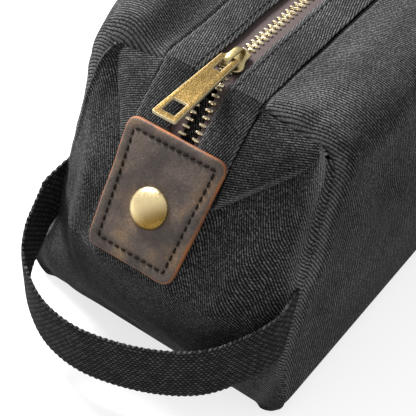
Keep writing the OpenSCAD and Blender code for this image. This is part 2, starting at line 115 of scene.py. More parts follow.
def ripple(a, b, seed, longest, count=7):
    """Soft random waves over the plane (a, b), with fixed phases, from -1 to 1."""
    rng = np.random.default_rng(seed)
    total = np.zeros(np.broadcast(a, b).shape)
    weight = 0.0
    for i in range(count):
        length = longest / (1 + 0.55 * i)
        angle, phase = rng.uniform(0, math.pi), rng.uniform(0, 2 * math.pi)
        w = 1 / (1 + 0.8 * i)
        total = total + w * np.sin((a * math.cos(angle) + b * math.sin(angle)) * 2 * math.pi / length + phase)
        weight += w
    return total / (weight * 0.6)


def unit_rows(v):
    """Each row of v at length 1."""
    return v / np.maximum(np.linalg.norm(v, axis=-1, keepdims=True), 1e-9)


def spread(n, edge):
    """n + 1 steps from 0 to 1, closer together near both ends as edge goes from 0 to 1."""
    t = np.linspace(0, 1, n + 1)
    return mix(t, 0.5 - 0.5 * np.cos(math.pi * t), edge)


def length_along(line):
    """Length of the line up to each of its points."""
    return np.concatenate([[0], np.cumsum(np.linalg.norm(np.diff(line, axis=0), axis=1))])


def relax(line, times):
    """Rounds off a line of points by averaging each with its neighbours; both ends stay."""
    for _ in range(times):
        line[1:-1] = (line[:-2] + 2 * line[1:-1] + line[2:]) / 4
    return line


def shade(colour, *factors):
    """The colour with each of its channels taken down by its own factor."""
    return tuple(v * f for v, f in zip(colour, factors))


def rgba(colour, factor=1.0):
    """The colour, lighter or darker by a factor, as a shader socket takes it."""
    return tuple(v * factor for v in tuple(colour)[:3]) + (1,)


# ---- Shape of the bag ----

def slump(p):
    """Lets the near left corner hang in, as a soft bag does when it is set down a little crooked."""
    x, y, z = p[..., 0], p[..., 1], p[..., 2]
    beside = ease(12, 50, y)
    dy = -8.5 * beside * ease(-30, -95, x) * ease(2, 34, z) * mix(1, 0.65, ease(60, 98, z))
    dx = 5.0 * hump(z, 34, 22) * beside * ease(-70, -118, x)
    return p + np.stack([dx, dy, 0 * dx], -1)


def lean_in(z):
    """How far the end seams stand in from the base's length at height z."""
    return END_SETBACK * clamp01((z - LEAN_Z) / (FOLD_Z - LEAN_Z)) ** 1.25


def outline(k, d=0.0):
    """Half outline across the bag: k goes round the bottom edge, up the side, over the top edge and along the top."""
    k = np.asarray(k, float)
    a, b = np.radians(90 * k), np.radians(90 * (k - 2))
    y = np.select([k < 1, k < 2, k < 3],
                  [HALF_W - BASE_R + (BASE_R - d) * np.sin(a), HALF_W - d - SIDE_LEAN * (k - 1),
                   TOP_Y + (TOP_R - d) * np.cos(b)], mix(TOP_Y, FACING_OUT + GAP, k - 3))
    z = np.select([k < 1, k < 2, k < 3],
                  [BASE_R - (BASE_R - d) * np.cos(a), mix(BASE_R, TOP_Z, k - 1),
                   TOP_Z + (TOP_R - d) * np.sin(b)], mix(HEIGHT - TOP_RISE, HEIGHT, k - 3) - d)
    return y, z


def arc_along(k):
    """Length of cloth along the outline up to k."""
    steps = np.linspace(0, 4, 801)
    y, z = outline(steps)
    run = np.concatenate([[0], np.cumsum(np.hypot(np.diff(y), np.diff(z)))])
    return np.interp(k, steps, run)


def top_dip(x):
    """How far the top sinks towards the cross seams at its ends."""
    return 1.4 * ease(88, 97, np.abs(x))


def wrap(k, s, side, d=0.0, soft=1.0):
    """Point on the sides and top: k round the outline, s from the near seam (0) to the far one (1)."""
    k, s = np.broadcast_arrays(np.asarray(k, float), np.asarray(s, float))
    y, z = outline(k, d)
    reach = HALF_L - lean_in(np.minimum(outline(k)[1], FOLD_Z))
    x = mix(-reach, reach, s)
    on_side = (k > 1) & (k < 2)
    y = y + np.where(on_side, SIDE_BULGE * np.sin(np.pi * (k - 1)), 0) * (1 - (x / HALF_L) ** 2)
    facing = np.radians(np.interp(k, (0, 0.9, 1.1, 1.9, 2.1, 3.0), (-90, 0, 5.6, 5.6, 10, 78)))
    ny, nz = np.cos(facing), np.sin(facing)
    arc = arc_along(k)
    seam = reach - np.abs(x)
    above = ease(0.15, 0.9, k)
    # The cloth sinks into the end seams, puffs out beside them and puckers along them.
    puck = ripple(arc, x * 0 + side * 7, 11 + side, 26)
    move = -2.0 * np.exp(-seam / 1.3) + (0.9 + 0.5 * puck) * hump(seam, 5.5, 4.5) * ease(1.0, 1.4, k)
    move = move + 0.9 * ripple(x, arc, 21 + side, 74) * ease(1.1, 1.5, k) * (1 - 0.6 * ease(2.6, 3.4, k))
    near = np.where(x < 0, 1.0, 0.8)
    # A soft fold that starts at each upper corner and runs down the side.
    line = TOP_HALF - np.abs(x) - (98 - z) * 0.62 - 6
    move = move - 2.0 * near * hump(line, 4.0, 7.0) * ease(54, 74, z) * ease(2.3, 1.75, k)
    move = move + 1.6 * near * hump(line, -9.0, 8.0) * ease(54, 74, z) * ease(2.4, 1.8, k)
    # The stuffed shoulders swell out behind the corners.
    swell = SHOULDER[side] * (1 - np.exp(-seam / 7.5)) * mix(0.5, 1, ease(0, 75, np.abs(x)))
    move = move + swell * ease(1.35, 2.35, k) * ease(3.96, 3.1, k)
    # Gathers on the top beside the cross seams.
    move = move + 0.4 * hump(seam, 7, 6) * ease(2.8, 3.1, k) * puck
    move = move - 1.7 * ease(3.88, 4.0, k)
    move = move * above * soft
    y, z = y + ny * move, z + nz * move - top_dip(x) * ease(2.6, 3.3, k) * soft
    return np.stack([x, side * y, z], -1), np.stack([x, arc + 0 * x], -1)


def seam_point(z, side):
    """Point on the near end's seam at height z, on the straight part of the side."""
    k = 1 + (np.asarray(z, float) - BASE_R) / (TOP_Z - BASE_R)
    return slump(wrap(k, 0.0, side)[0])


def end_reach(z):
    """How far an end stands out from the middle of the bag on its centre line at height z."""
    z = np.asarray(z, float)
    low = np.minimum(HALF_L + END_BULGE * np.sin(np.pi / 2 * clamp01(z / SWELL_Z)),
                     SLOPE_X + (SLOPE_Z - z) / math.tan(SLOPE_ANGLE))
    return np.where(z > SLOPE_Z, mix(SLOPE_X, TOP_HALF, (z - SLOPE_Z) / (HEIGHT - SLOPE_Z)), low)


def top_z(y):
    """Height of the top across the bag."""
    y = np.abs(y)
    arch = TOP_Z + np.sqrt(np.maximum(TOP_R ** 2 - (y - TOP_Y) ** 2, 0))
    return np.where(y < FACING_OUT, HEIGHT,
                    np.where(y < TOP_Y, mix(HEIGHT, HEIGHT - TOP_RISE, (y - FACING_OUT) / (TOP_Y - FACING_OUT)), arch))


def under_fold(y, z):
    """Distance below the folded corner's lower edge, in the plane across the bag."""
    ay, az, qy, qz = 51.0, 102.0, 22.0, 82.0
    length = math.hypot(ay - qy, az - qz)
    return ((np.abs(y) - qy) * (az - qz) - (z - qz) * (ay - qy)) / length


def end_face(u, v, way, d=0.0):
    """Point on an end panel: u across from -1 to 1, v up from 0 to 1, d below the face."""
    u, v = np.broadcast_arrays(np.asarray(u, float), np.asarray(v, float))
    oy, oz = outline(2.5 * v)
    y, z = u * oy, oz * top_z(u * FOLD_Y) / FOLD_Z
    flat = FACING_OUT / FOLD_Y + 0.03
    a = clamp01((np.abs(u) - flat) / (1 - flat))
    x = mix(end_reach(z), HALF_L - lean_in(oz), a * a)
    low = under_fold(y, z)
    hollow = CORNER_HOLLOW * np.where(low < 0, 1, np.exp(-(np.maximum(low, 0) / 15) ** 1.4))
    hollow = hollow * ease(14, 26, np.abs(y)) * ease(1.0, 0.72, np.abs(u))
    # The panel drops behind the ends of the zip, under the patch.
    hollow = np.maximum(hollow, ZIP_HOLLOW * ease(81, 88, z) * ease(34, 24, np.abs(y)))
    seam = (1 - np.abs(u)) * oy
    out = 1.4 * hump(seam, 1.8, 1.4) - 0.6 * np.exp(-seam / 0.7)
    out = out + 1.0 * ripple(y, z, 41 + way, 62) * ease(0.0, 0.25, v) * ease(19, 30, np.abs(y) + (60 - z) * 1.0)
    # Folds that run down from the corner's edge towards the seam.
    out = out + 1.1 * hump(np.abs(y) - 41 + (82 - z) * 0.22, 0, 4.5) * ease(88, 70, z) * ease(16, 52, z)
    out = out - 1.3 * hump(np.abs(y) - 50 + (82 - z) * 0.18, 0, 4) * ease(88, 72, z) * ease(24, 56, z)
    x = x - (hollow - out * ease(0.0, 0.08, v)) - d
    return np.stack([way * x, y, z], -1), np.stack([y * 1.06, arc_along(2.5 * v)], -1)


def slope_point(way, down, across, out):
    """Point on the flat slope under a patch, from its top line."""
    c, s = math.cos(SLOPE_ANGLE), math.sin(SLOPE_ANGLE)
    down, across, out = np.broadcast_arrays(np.asarray(down, float), across, out)
    return np.stack([way * (SLOPE_X + down * c + out * s), across, SLOPE_Z - down * s + out * c], -1)


def row_open(x, side):
    """How far a row of teeth stands off the middle: the rows part behind the slider and drift to the right."""
    return OPEN_GAP * clamp01((SLIDER_X - 2 - x) / 11) - side * 1.5 * ease(SLIDER_X - 13, SLIDER_X - 27, x)


def end_open(flat, way, side):
    """The same over an end, where the far rows stay together."""
    return row_open(flat[:, 0], side) if way < 0 else 0 * flat[:, 0]


def strip_line(way, n):
    """Line of the zip's strips over one end, as (x, z): over the bend and down under the patch."""
    under = 6.0
    pts = np.array([(TOP_HALF, HEIGHT - top_dip(TOP_HALF)), (93.5, 105.6), (99.5, 101.2), (105.0, 96.2),
                    (SLOPE_X + 0.4, SLOPE_Z - 0.1),
                    (SLOPE_X + under * math.cos(SLOPE_ANGLE), SLOPE_Z - under * math.sin(SLOPE_ANGLE))])
    t = np.linspace(0, 1, n)
    run = np.concatenate([[0], np.cumsum(np.hypot(*np.diff(pts, axis=0).T))])
    line = relax(np.stack([np.interp(t * run[-1], run, pts[:, i]) for i in (0, 1)], -1), 3)
    return line * np.array([way, 1])


# ---- Mesh building ----

def build_mesh(name, verts, faces, uv=None, wear_and_highlight=None, normals=None, material=None, sharp=40):
    """Makes an object at the origin from points in millimetres."""
    me = bpy.data.meshes.new(name)
    verts = np.asarray(verts, float) * MM
    me.from_pydata([tuple(v) for v in verts], [], [tuple(int(i) for i in f) for f in faces])
    me.update()
    bm = bmesh.new()
    bm.from_mesh(me)
    if bm.calc_volume(signed=True) < 0:
        bmesh.ops.reverse_faces(bm, faces=bm.faces[:])
        bm.to_mesh(me)
        me.update()
    bm.free()
    if uv is not None:
        layer = me.uv_layers.new(name="Cloth")
        loops = np.zeros(len(me.loops), np.int32)
        me.loops.foreach_get("vertex_index", loops)
        layer.data.foreach_set("uv", (np.asarray(uv, float) * MM)[loops].astype(np.float32).ravel())
    if wear_and_highlight is not None:
        me.attributes.new("wear_and_highlight", "FLOAT", "POINT").data.foreach_set("value", np.asarray(wear_and_highlight, np.float32).ravel())
    me.shade_smooth()
    if normals is not None:
        me.normals_split_custom_set_from_vertices([tuple(n) for n in normals])
    else:
        me.set_sharp_from_angle(angle=math.radians(sharp))
    obj = bpy.data.objects.new(name, me)
    bpy.context.scene.collection.objects.link(obj)
    if material is not None:
        me.materials.append(material)
    return obj


def tube_faces(rows, cols):
    """Faces of a closed tube whose points are rows of rings, with a cap at each end."""
    idx = np.arange(rows * cols).reshape(rows, cols)
    nxt = np.roll(idx, -1, 1)
    faces = [tuple(f) for f in np.stack([idx[:-1], nxt[:-1], nxt[1:], idx[1:]], -1).reshape(-1, 4)]
    return faces + [tuple(idx[0][::-1]), tuple(idx[-1])]


def slab(name, surface, a, b, thick, material, wear_and_highlight=None, smooth_normals=True):
    """A closed layer of cloth. surface(a, b) gives outer points and cloth coordinates; thick is its thickness."""
    a, b = np.asarray(a, float)[:, None], np.asarray(b, float)[None, :]
    p, uv = surface(a, b)
    p = slump(p)
    ea, eb = (a.max() - a.min()) * 1e-3, (b.max() - b.min()) * 1e-3
    da = slump(surface(a + ea, b)[0]) - slump(surface(a - ea, b)[0])
    db = slump(surface(a, b + eb)[0]) - slump(surface(a, b - eb)[0])
    n = unit_rows(np.cross(da, db))
    if (n * (p - np.array([0, 0, 50.0]))).sum(-1).mean() < 0:
        n = -n
    q = p - n * thick
    q[..., 2] = np.maximum(q[..., 2], 0)
    rows, cols = p.shape[:2]
    size = rows * cols
    idx = np.arange(size).reshape(rows, cols)
    top = np.stack([idx[:-1, :-1], idx[:-1, 1:], idx[1:, 1:], idx[1:, :-1]], -1).reshape(-1, 4)
    rim = np.concatenate([idx[0, :-1], idx[:-1, -1], idx[-1, :0:-1], idx[:0:-1, 0]])
    nxt = np.roll(rim, -1)
    wall = np.stack([nxt, rim, rim + size, nxt + size], -1)
    faces = np.concatenate([top, top[:, ::-1] + size, wall])
    verts = np.concatenate([p.reshape(-1, 3), q.reshape(-1, 3)])
    uvs = np.concatenate([uv.reshape(-1, 2)] * 2)
    wear = np.zeros((rows, cols)) if wear_and_highlight is None else wear_and_highlight(p)
    wear = np.concatenate([wear.ravel(), wear.ravel()])
    normals = np.concatenate([n.reshape(-1, 3), -n.reshape(-1, 3)]) if smooth_normals else None
    return build_mesh(name, verts, faces, uvs, wear, normals, material)


def sweep(name, line, across, section, material, wear_and_highlight=None, sharp=60):
    """Sweeps section, a closed list of (across, up) points, along line; across is the sideways way at each point."""
    line, across = np.asarray(line, float), unit_rows(np.asarray(across, float))
    tangent = unit_rows(np.gradient(line, axis=0))
    up = unit_rows(np.cross(tangent, across))
    if up[:, 2].mean() < -0.1:
        up = -up
    section = np.asarray(section, float)
    if section.ndim == 2:
        section = np.repeat(section[None], len(line), 0)
    p = line[:, None] + across[:, None] * section[..., :1] + up[:, None] * section[..., 1:]
    rows, cols = p.shape[:2]
    uv = np.stack([np.repeat(length_along(line)[:, None], cols, 1), section[..., 0]], -1).reshape(-1, 2)
    wear = None if wear_and_highlight is None else wear_and_highlight(section).reshape(-1)
    return build_mesh(name, p.reshape(-1, 3), tube_faces(rows, cols), uv, wear, None, material, sharp)


def flat_section(half_w, thick, drop=0.35, n=18):
    """Cross-section of a flat strip with rounded edges, from its upper face down."""
    t = np.sin(np.linspace(-math.pi / 2, math.pi / 2, n))
    top = [(half_w * v, -drop * abs(v) ** 8) for v in t]
    low = [(half_w * v, -thick + drop * abs(v) ** 8) for v in t[::-1]]
    return np.array(top + low)


def bake_modifiers(obj):
    """Turns an object with modifiers into a plain mesh."""
    bpy.context.view_layer.update()
    graph = bpy.context.evaluated_depsgraph_get()
    me = bpy.data.meshes.new_from_object(obj.evaluated_get(graph), preserve_all_data_layers=True, depsgraph=graph)
    obj.modifiers.clear()
    old = obj.data
    obj.data = me
    if old.users == 0:
        bpy.data.meshes.remove(old)
    return obj


def join(name, parts, material):
    """Joins mesh objects into one piece."""
    me = bpy.data.meshes.new(name)
    bm = bmesh.new()
    for p in parts:
        bm.from_mesh(p.data)
    bm.to_mesh(me)
    bm.free()
    me.shade_smooth()
    me.set_sharp_from_angle(angle=math.radians(40))
    for p in parts:
        bpy.data.objects.remove(p)
    obj = bpy.data.objects.new(name, me)
    bpy.context.scene.collection.objects.link(obj)
    me.materials.clear()
    me.materials.append(material)
    return obj


def settle(obj, body, nodes):
    """Puts a finished piece on its body and hides the parts that it stands for."""
    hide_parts(*nodes)
    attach(obj, body)
    return obj


def settle_flap(obj, nodes):
    """A piece of a flap: hides the parts that it stands for, if any, and bakes its placement into its points."""
    if nodes:
        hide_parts(*nodes)
    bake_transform(obj)
    return obj


# ---- Geometry Nodes: parts along a path ----

def path_tree():
    """Places copies of a part along a path, turned to follow it."""
    tree = bpy.data.node_groups.get("Parts Along Path")
    if tree:
        return tree
    tree = bpy.data.node_groups.new("Parts Along Path", "GeometryNodeTree")
    face = tree.interface
    face.new_socket(name="Path", in_out="INPUT", socket_type="NodeSocketGeometry")
    for label, kind, value in (("Part", "NodeSocketObject", None), ("Pitch", "NodeSocketFloat", 0.003),
                               ("Slant", "NodeSocketFloat", 0.0), ("Wobble", "NodeSocketFloat", 0.0),
                               ("Size Wobble", "NodeSocketFloat", 0.0), ("Seed", "NodeSocketInt", 1),
                               ("Material", "NodeSocketMaterial", None)):
        s = face.new_socket(name=label, in_out="INPUT", socket_type=kind)
        if value is not None:
            s.default_value = value
    face.new_socket(name="Parts", in_out="OUTPUT", socket_type="NodeSocketGeometry")
    new, link = tree.nodes.new, tree.links.new
    gin, gout = new("NodeGroupInput"), new("NodeGroupOutput")
    curve, points = new("GeometryNodeMeshToCurve"), new("GeometryNodeCurveToPoints")
    points.mode = "LENGTH"
    link(gin.outputs["Path"], curve.inputs["Mesh"])
    link(curve.outputs["Curve"], points.inputs["Curve"])
    link(gin.outputs["Pitch"], points.inputs["Length"])
    upward = new("GeometryNodeInputNamedAttribute")
    upward.data_type = "FLOAT_VECTOR"
    upward.inputs["Name"].default_value = "up"
    first, second = new("FunctionNodeAlignRotationToVector"), new("FunctionNodeAlignRotationToVector")
    first.axis, second.axis, second.pivot_axis = "X", "Z", "X"
    link(points.outputs["Tangent"], first.inputs["Vector"])
    link(first.outputs["Rotation"], second.inputs["Rotation"])
    link(upward.outputs["Attribute"], second.inputs["Vector"])
    chance = new("FunctionNodeRandomValue")
    chance.data_type = "FLOAT"
    chance.inputs["Min"].default_value = -1.0
    chance.inputs["Max"].default_value = 1.0
    link(gin.outputs["Seed"], chance.inputs["Seed"])
    turn, grow = new("ShaderNodeMath"), new("ShaderNodeMath")
    turn.operation = grow.operation = "MULTIPLY_ADD"
    link(chance.outputs[1], turn.inputs[0])
    link(gin.outputs["Wobble"], turn.inputs[1])
    link(gin.outputs["Slant"], turn.inputs[2])
    euler, local = new("ShaderNodeCombineXYZ"), new("FunctionNodeRotateRotation")
    local.rotation_space = "LOCAL"
    to_rot = new("FunctionNodeEulerToRotation")
    link(turn.outputs[0], euler.inputs["Z"])
    link(euler.outputs[0], to_rot.inputs[0])
    link(second.outputs["Rotation"], local.inputs[0])
    link(to_rot.outputs[0], local.inputs[1])
    link(chance.outputs[1], grow.inputs[0])
    link(gin.outputs["Size Wobble"], grow.inputs[1])
    grow.inputs[2].default_value = 1.0
    info, place = new("GeometryNodeObjectInfo"), new("GeometryNodeInstanceOnPoints")
    link(gin.outputs["Part"], info.inputs["Object"])
    link(points.outputs["Points"], place.inputs["Points"])
    link(info.outputs["Geometry"], place.inputs["Instance"])
    link(local.outputs[0], place.inputs["Rotation"])
    link(grow.outputs[0], place.inputs["Scale"])
    real, paint = new("GeometryNodeRealizeInstances"), new("GeometryNodeSetMaterial")
    link(place.outputs[0], real.inputs[0])
    link(real.outputs[0], paint.inputs["Geometry"])
    link(gin.outputs["Material"], paint.inputs["Material"])
    link(paint.outputs[0], gout.inputs[0])
    return tree


def along_path(name, paths, ups, part, pitch, material, slant=0.0, wobble=0.0, size=0.0, seed=1):
    """Repeats part along each path; ups gives the direction out of the surface at each path point."""
    verts, edges, up = [], [], []
    for line, out in zip(paths, ups):
        base = len(verts)
        verts += [tuple(np.asarray(p, float) * MM) for p in line]
        up += [tuple(o) for o in out]
        edges += [(base + i, base + i + 1) for i in range(len(line) - 1)]
    me = bpy.data.meshes.new(name)
    me.from_pydata(verts, edges, [])
    me.attributes.new("up", "FLOAT_VECTOR", "POINT").data.foreach_set("vector", np.array(up, np.float32).ravel())
    obj = bpy.data.objects.new(name, me)
    bpy.context.scene.collection.objects.link(obj)
    mod = obj.modifiers.new("Parts", "NODES")
    mod.node_group = path_tree()
    given = {"Part": part, "Pitch": pitch * MM, "Slant": slant, "Wobble": wobble, "Size Wobble": size,
             "Seed": seed, "Material": material}
    for item in mod.node_group.interface.items_tree:
        if item.item_type == "SOCKET" and item.in_out == "INPUT" and item.name in given:
            mod[item.identifier] = given[item.name]
    bake_modifiers(obj)
    obj.data.shade_smooth()
    obj.data.set_sharp_from_angle(angle=math.radians(40))
    if not obj.data.materials:
        obj.data.materials.append(material)
    return obj


def hidden_part(obj):
    """A part that is only copied from, and isn't shown itself."""
    for c in list(obj.users_collection):
        c.objects.unlink(obj)
    return obj


def stitch_part(length, radius):
    """One stitch: a short thread that bows up and dives in at both ends."""
    t = np.linspace(-1, 1, 6)
    line = np.stack([t * length / 2, 0 * t, radius * (0.7 - 1.3 * t ** 4)], -1)
    ring = [(radius * math.cos(a), radius * math.sin(a)) for a in np.linspace(0, 2 * math.pi, 7)[:-1]]
    section = np.array([[(x * s, y * s) for x, y in ring] for s in (0.6, 1, 1.05, 1.05, 1, 0.6)])
    return hidden_part(sweep("Stitch", line, [(0, 1, 0)] * 6, section, None))


# ---- Shader node groups ----

class Sheet:
    """Short calls for building a node tree."""

    def __init__(self, tree):
        self.tree = tree

    def node(self, kind, **given):
        n = self.tree.nodes.new(kind)
        for key, value in given.items():
            setattr(n, key, value)
        return n

    def put(self, socket, value):
        if isinstance(value, bpy.types.NodeSocket):
            self.tree.links.new(value, socket)
        elif value is not None:
            socket.default_value = value

    def math(self, op, a, b=None, c=None, clamp=False):
        n = self.node("ShaderNodeMath", operation=op, use_clamp=clamp)
        for socket, value in zip(n.inputs, (a, b, c)):
            self.put(socket, value)
        return n.outputs[0]

    def span(self, value, a, b, to_a=0.0, to_b=1.0, smooth=False):
        n = self.node("ShaderNodeMapRange", interpolation_type="SMOOTHSTEP" if smooth else "LINEAR")
        for i, v in enumerate((value, a, b, to_a, to_b)):
            self.put(n.inputs[i], v)
        return n.outputs[0]

    def mix_colour(self, factor, a, b, blend="MIX"):
        n = self.node("ShaderNodeMix", data_type="RGBA", blend_type=blend)
        self.put(n.inputs[0], factor)
        self.put(n.inputs[6], a)
        self.put(n.inputs[7], b)
        return n.outputs[2]

    def noise(self, vector, scale, detail=2.0, rough=0.5):
        n = self.node("ShaderNodeTexNoise", noise_dimensions="3D")
        self.put(n.inputs["Vector"], vector)
        n.inputs["Scale"].default_value = scale
        n.inputs["Detail"].default_value = detail
        n.inputs["Roughness"].default_value = rough
        return n.outputs["Fac"]

    def dome(self, value, power):
        """1 in the middle of each step of value and 0 at its ends."""
        off = self.math("ABSOLUTE", self.math("MULTIPLY_ADD", value, 2.0, -1.0))
        return self.math("SUBTRACT", 1.0, self.math("POWER", off, power))

    def steps(self, value):
        """The number of the step that value is in, and how far along it value is."""
        return self.math("FLOOR", value), self.math("FRACT", value)

    def chance(self, x, y):
        n = self.node("ShaderNodeTexWhiteNoise", noise_dimensions="2D")
        self.put(n.inputs["Vector"], self.join(x, y))
        return n.outputs["Value"]

    def scaled(self, vector, factor):
        n = self.node("ShaderNodeVectorMath", operation="SCALE")
        self.put(n.inputs[0], vector)
        self.put(n.inputs["Scale"], factor)
        return n.outputs[0]

    def bump(self, bsdf, height, strength, distance):
        n = self.node("ShaderNodeBump")
        n.inputs["Strength"].default_value = strength
        n.inputs["Distance"].default_value = distance
        self.put(n.inputs["Height"], height)
        self.put(bsdf.inputs["Normal"], n.outputs[0])

    def cloth_map(self):
        return self.node("ShaderNodeUVMap", uv_map="Cloth").outputs[0]

    def place(self):
        return self.node("ShaderNodeTexCoord").outputs["Object"]

    def wear_and_highlight(self):
        return self.node("ShaderNodeAttribute", attribute_name="wear_and_highlight").outputs["Fac"]

    def split(self, vector):
        n = self.node("ShaderNodeSeparateXYZ")
        self.put(n.inputs[0], vector)
        return n.outputs[0], n.outputs[1], n.outputs[2]

    def join(self, x, y, z=0.0):
        n = self.node("ShaderNodeCombineXYZ")
        for socket, value in zip(n.inputs, (x, y, z)):
            self.put(socket, value)
        return n.outputs[0]

    def group(self, tree, **given):
        n = self.node("ShaderNodeGroup", node_tree=tree)
        for key, value in given.items():
            self.put(n.inputs[key.replace("_", " ")], value)
        return n.outputs


def shader_group(name, ins, outs):
    """An empty shader node group with named sockets: the tree, its sheet, its inputs and its outputs."""
    tree = bpy.data.node_groups.new(name, "ShaderNodeTree")
    kinds = {"f": "NodeSocketFloat", "v": "NodeSocketVector", "c": "NodeSocketColor"}
    for label, kind, value in ins:
        s = tree.interface.new_socket(name=label, in_out="INPUT", socket_type=kinds[kind])
        if value is not None:
            s.default_value = value
    for label, kind in outs:
        tree.interface.new_socket(name=label, in_out="OUTPUT", socket_type=kinds[kind])
    sheet = Sheet(tree)
    return tree, sheet, sheet.node("NodeGroupInput").outputs, sheet.node("NodeGroupOutput").inputs


def twill_weave():
    """Diagonal ribs made of short slanted yarns. The vector is in metres along the cloth."""
    tree = bpy.data.node_groups.get("Twill Weave")
    if tree:
        return tree
    tree, s, gi, go = shader_group(
        "Twill Weave",
        [("Vector", "v", None), ("Rib Pitch", "f", 1.05), ("Yarn Length", "f", 1.5), ("Slope", "f", 1.2)],
        [("Height", "f"), ("Fleck", "f")])
    x, y = (s.math("MULTIPLY", v, 1000) for v in s.split(gi["Vector"])[:2])
    p = s.join(x, y)
    sway = s.math("MULTIPLY_ADD", s.noise(p, 0.05, 2), 1.2, -0.6)
    jog = s.math("MULTIPLY_ADD", s.noise(p, 0.75, 2), 0.16, -0.08)
    cosine, sine = s.math("COSINE", gi["Slope"]), s.math("SINE", gi["Slope"])
    along = s.math("ADD", s.math("MULTIPLY", x, cosine), s.math("MULTIPLY", y, sine))
    across = s.math("SUBTRACT", s.math("MULTIPLY", y, cosine), s.math("MULTIPLY", x, sine))
    across = s.math("ADD", s.math("ADD", across, sway), jog)
    rib = s.math("DIVIDE", across, gi["Rib Pitch"])
    rib_i, rib_f = s.steps(rib)
    pick = s.node("ShaderNodeTexWhiteNoise", noise_dimensions="1D")
    s.put(pick.inputs["W"], rib_i)
    yarn = s.math("ADD", s.math("DIVIDE", along, gi["Yarn Length"]),
                  s.math("ADD", s.math("MULTIPLY", rib_f, 0.6), pick.outputs["Value"]))
    yarn_i, yarn_f = s.steps(yarn)
    fuzz = s.span(s.noise(p, 1.7, 2, 0.7), 0.36, 0.64, 0.45, 1.5)
    round_rib = s.math("POWER", s.dome(rib_f, 2.0), 1.3)
    round_yarn = s.math("MULTIPLY_ADD", s.dome(yarn_f, 4.0), 0.4, 0.6)
    s.put(go["Height"], s.math("MULTIPLY", s.math("MULTIPLY", round_rib, round_yarn), fuzz, clamp=True))
    s.put(go["Fleck"], s.chance(rib_i, yarn_i))
    return tree


def webbing_weave():
    """Rows of short slanted dashes that lean one way, then the other. The vector is in metres along the webbing."""
    tree = bpy.data.node_groups.get("Webbing Weave")
    if tree:
        return tree
    tree, s, gi, go = shader_group(
        "Webbing Weave", [("Vector", "v", None), ("Column", "f", 1.35), ("Dash", "f", 1.95), ("Lean", "f", 0.6)],
        [("Height", "f"), ("Fleck", "f")])
    x, y = (s.math("MULTIPLY", v, 1000) for v in s.split(gi["Vector"])[:2])
    jog = s.math("MULTIPLY_ADD", s.noise(s.join(x, y), 0.9, 2), 0.4, -0.2)
    col_i, col_f = s.steps(s.math("DIVIDE", s.math("ADD", y, jog), gi["Column"]))
    way = s.math("MULTIPLY_ADD", s.math("PINGPONG", col_i, 1.0), 2.0, -1.0)
    shift = s.math("MULTIPLY", s.math("MULTIPLY", way, gi["Lean"]), s.math("SUBTRACT", col_f, 0.5))
    along = s.math("DIVIDE", s.math("ADD", x, jog), gi["Dash"])
    row_i, row_f = s.steps(s.math("ADD", along, s.math("MULTIPLY_ADD", way, 0.25, shift)))
    s.put(go["Height"], s.math("MULTIPLY", s.dome(col_f, 2.5), s.dome(row_f, 2.0)))
    s.put(go["Fleck"], s.chance(row_i, col_i))
    return tree


def fine_grain():
    """Fine grain and broad patches, for metal and leather."""
    tree = bpy.data.node_groups.get("Fine Grain")
    if tree:
        return tree
    tree, s, gi, go = shader_group(
        "Fine Grain", [("Vector", "v", None), ("Grain", "f", 900.0), ("Patch", "f", 90.0)],
        [("Grain", "f"), ("Patches", "f"), ("Specks", "f")])
    fine, broad = s.scaled(gi["Vector"], gi["Grain"]), s.scaled(gi["Vector"], gi["Patch"])
    s.put(go["Grain"], s.noise(fine, 1.0, 3, 0.6))
    s.put(go["Patches"], s.noise(broad, 1.0, 3, 0.55))
    cells = s.node("ShaderNodeTexVoronoi", feature="F1")
    s.put(cells.inputs["Vector"], fine)
    cells.inputs["Scale"].default_value = 0.6
    s.put(go["Specks"], cells.outputs["Distance"])
    return tree


# ---- Materials ----

def new_material(name):
    mat = bpy.data.materials.new(name)
    mat.use_nodes = True
    tree = mat.node_tree
    tree.nodes.clear()
    sheet = Sheet(tree)
    out, bsdf = sheet.node("ShaderNodeOutputMaterial"), sheet.node("ShaderNodeBsdfPrincipled")
    tree.links.new(bsdf.outputs[0], out.inputs[0])
    return mat, sheet, bsdf


def cloth_material(name, dark, light, slope, pitch, bump, wash=0.3):
    """Washed twill: dark grooves, paler ribs with light flecks, and paler ribs where the cloth's wear attribute is
    set: rubbed edges, and along the end seams partly wear, partly a painted highlight on the seam ridges.
    """
    if name in bpy.data.materials:
        return bpy.data.materials[name]
    mat, s, bsdf = new_material(name)
    weave = s.group(twill_weave(), Vector=s.cloth_map(), Rib_Pitch=pitch, Yarn_Length=1.5, Slope=slope)
    grain = s.group(fine_grain(), Vector=s.place(), Grain=2200.0, Patch=38.0)
    fleck = s.math("POWER", weave["Fleck"], 1.8)
    level = s.math("MULTIPLY", s.math("POWER", weave["Height"], 2.6), s.math("MULTIPLY_ADD", fleck, 0.8, 0.6))
    # Paler ribs from the wear attribute: rubbed edges, and along the end seams partly a painted highlight.
    rubbed = s.math("MULTIPLY", s.math("MULTIPLY", s.wear_and_highlight(), weave["Height"]), 0.7)
    level = s.math("ADD", level, rubbed, clamp=True)
    colour = s.mix_colour(level, (dark, dark, dark, 1), (light, light, light, 1))
    faded = s.span(grain["Patches"], 0.3, 0.7, 1 - wash, 1 + wash)
    s.put(bsdf.inputs["Base Color"], s.scaled(colour, faded))
    bsdf.inputs["Roughness"].default_value = 0.92
    bsdf.inputs["Specular IOR Level"].default_value = 0.08
    bsdf.inputs["Sheen Weight"].default_value = 0.02
    s.bump(bsdf, s.math("ADD", weave["Height"], s.math("MULTIPLY", grain["Grain"], 0.25)), bump, 0.0004)
    return mat


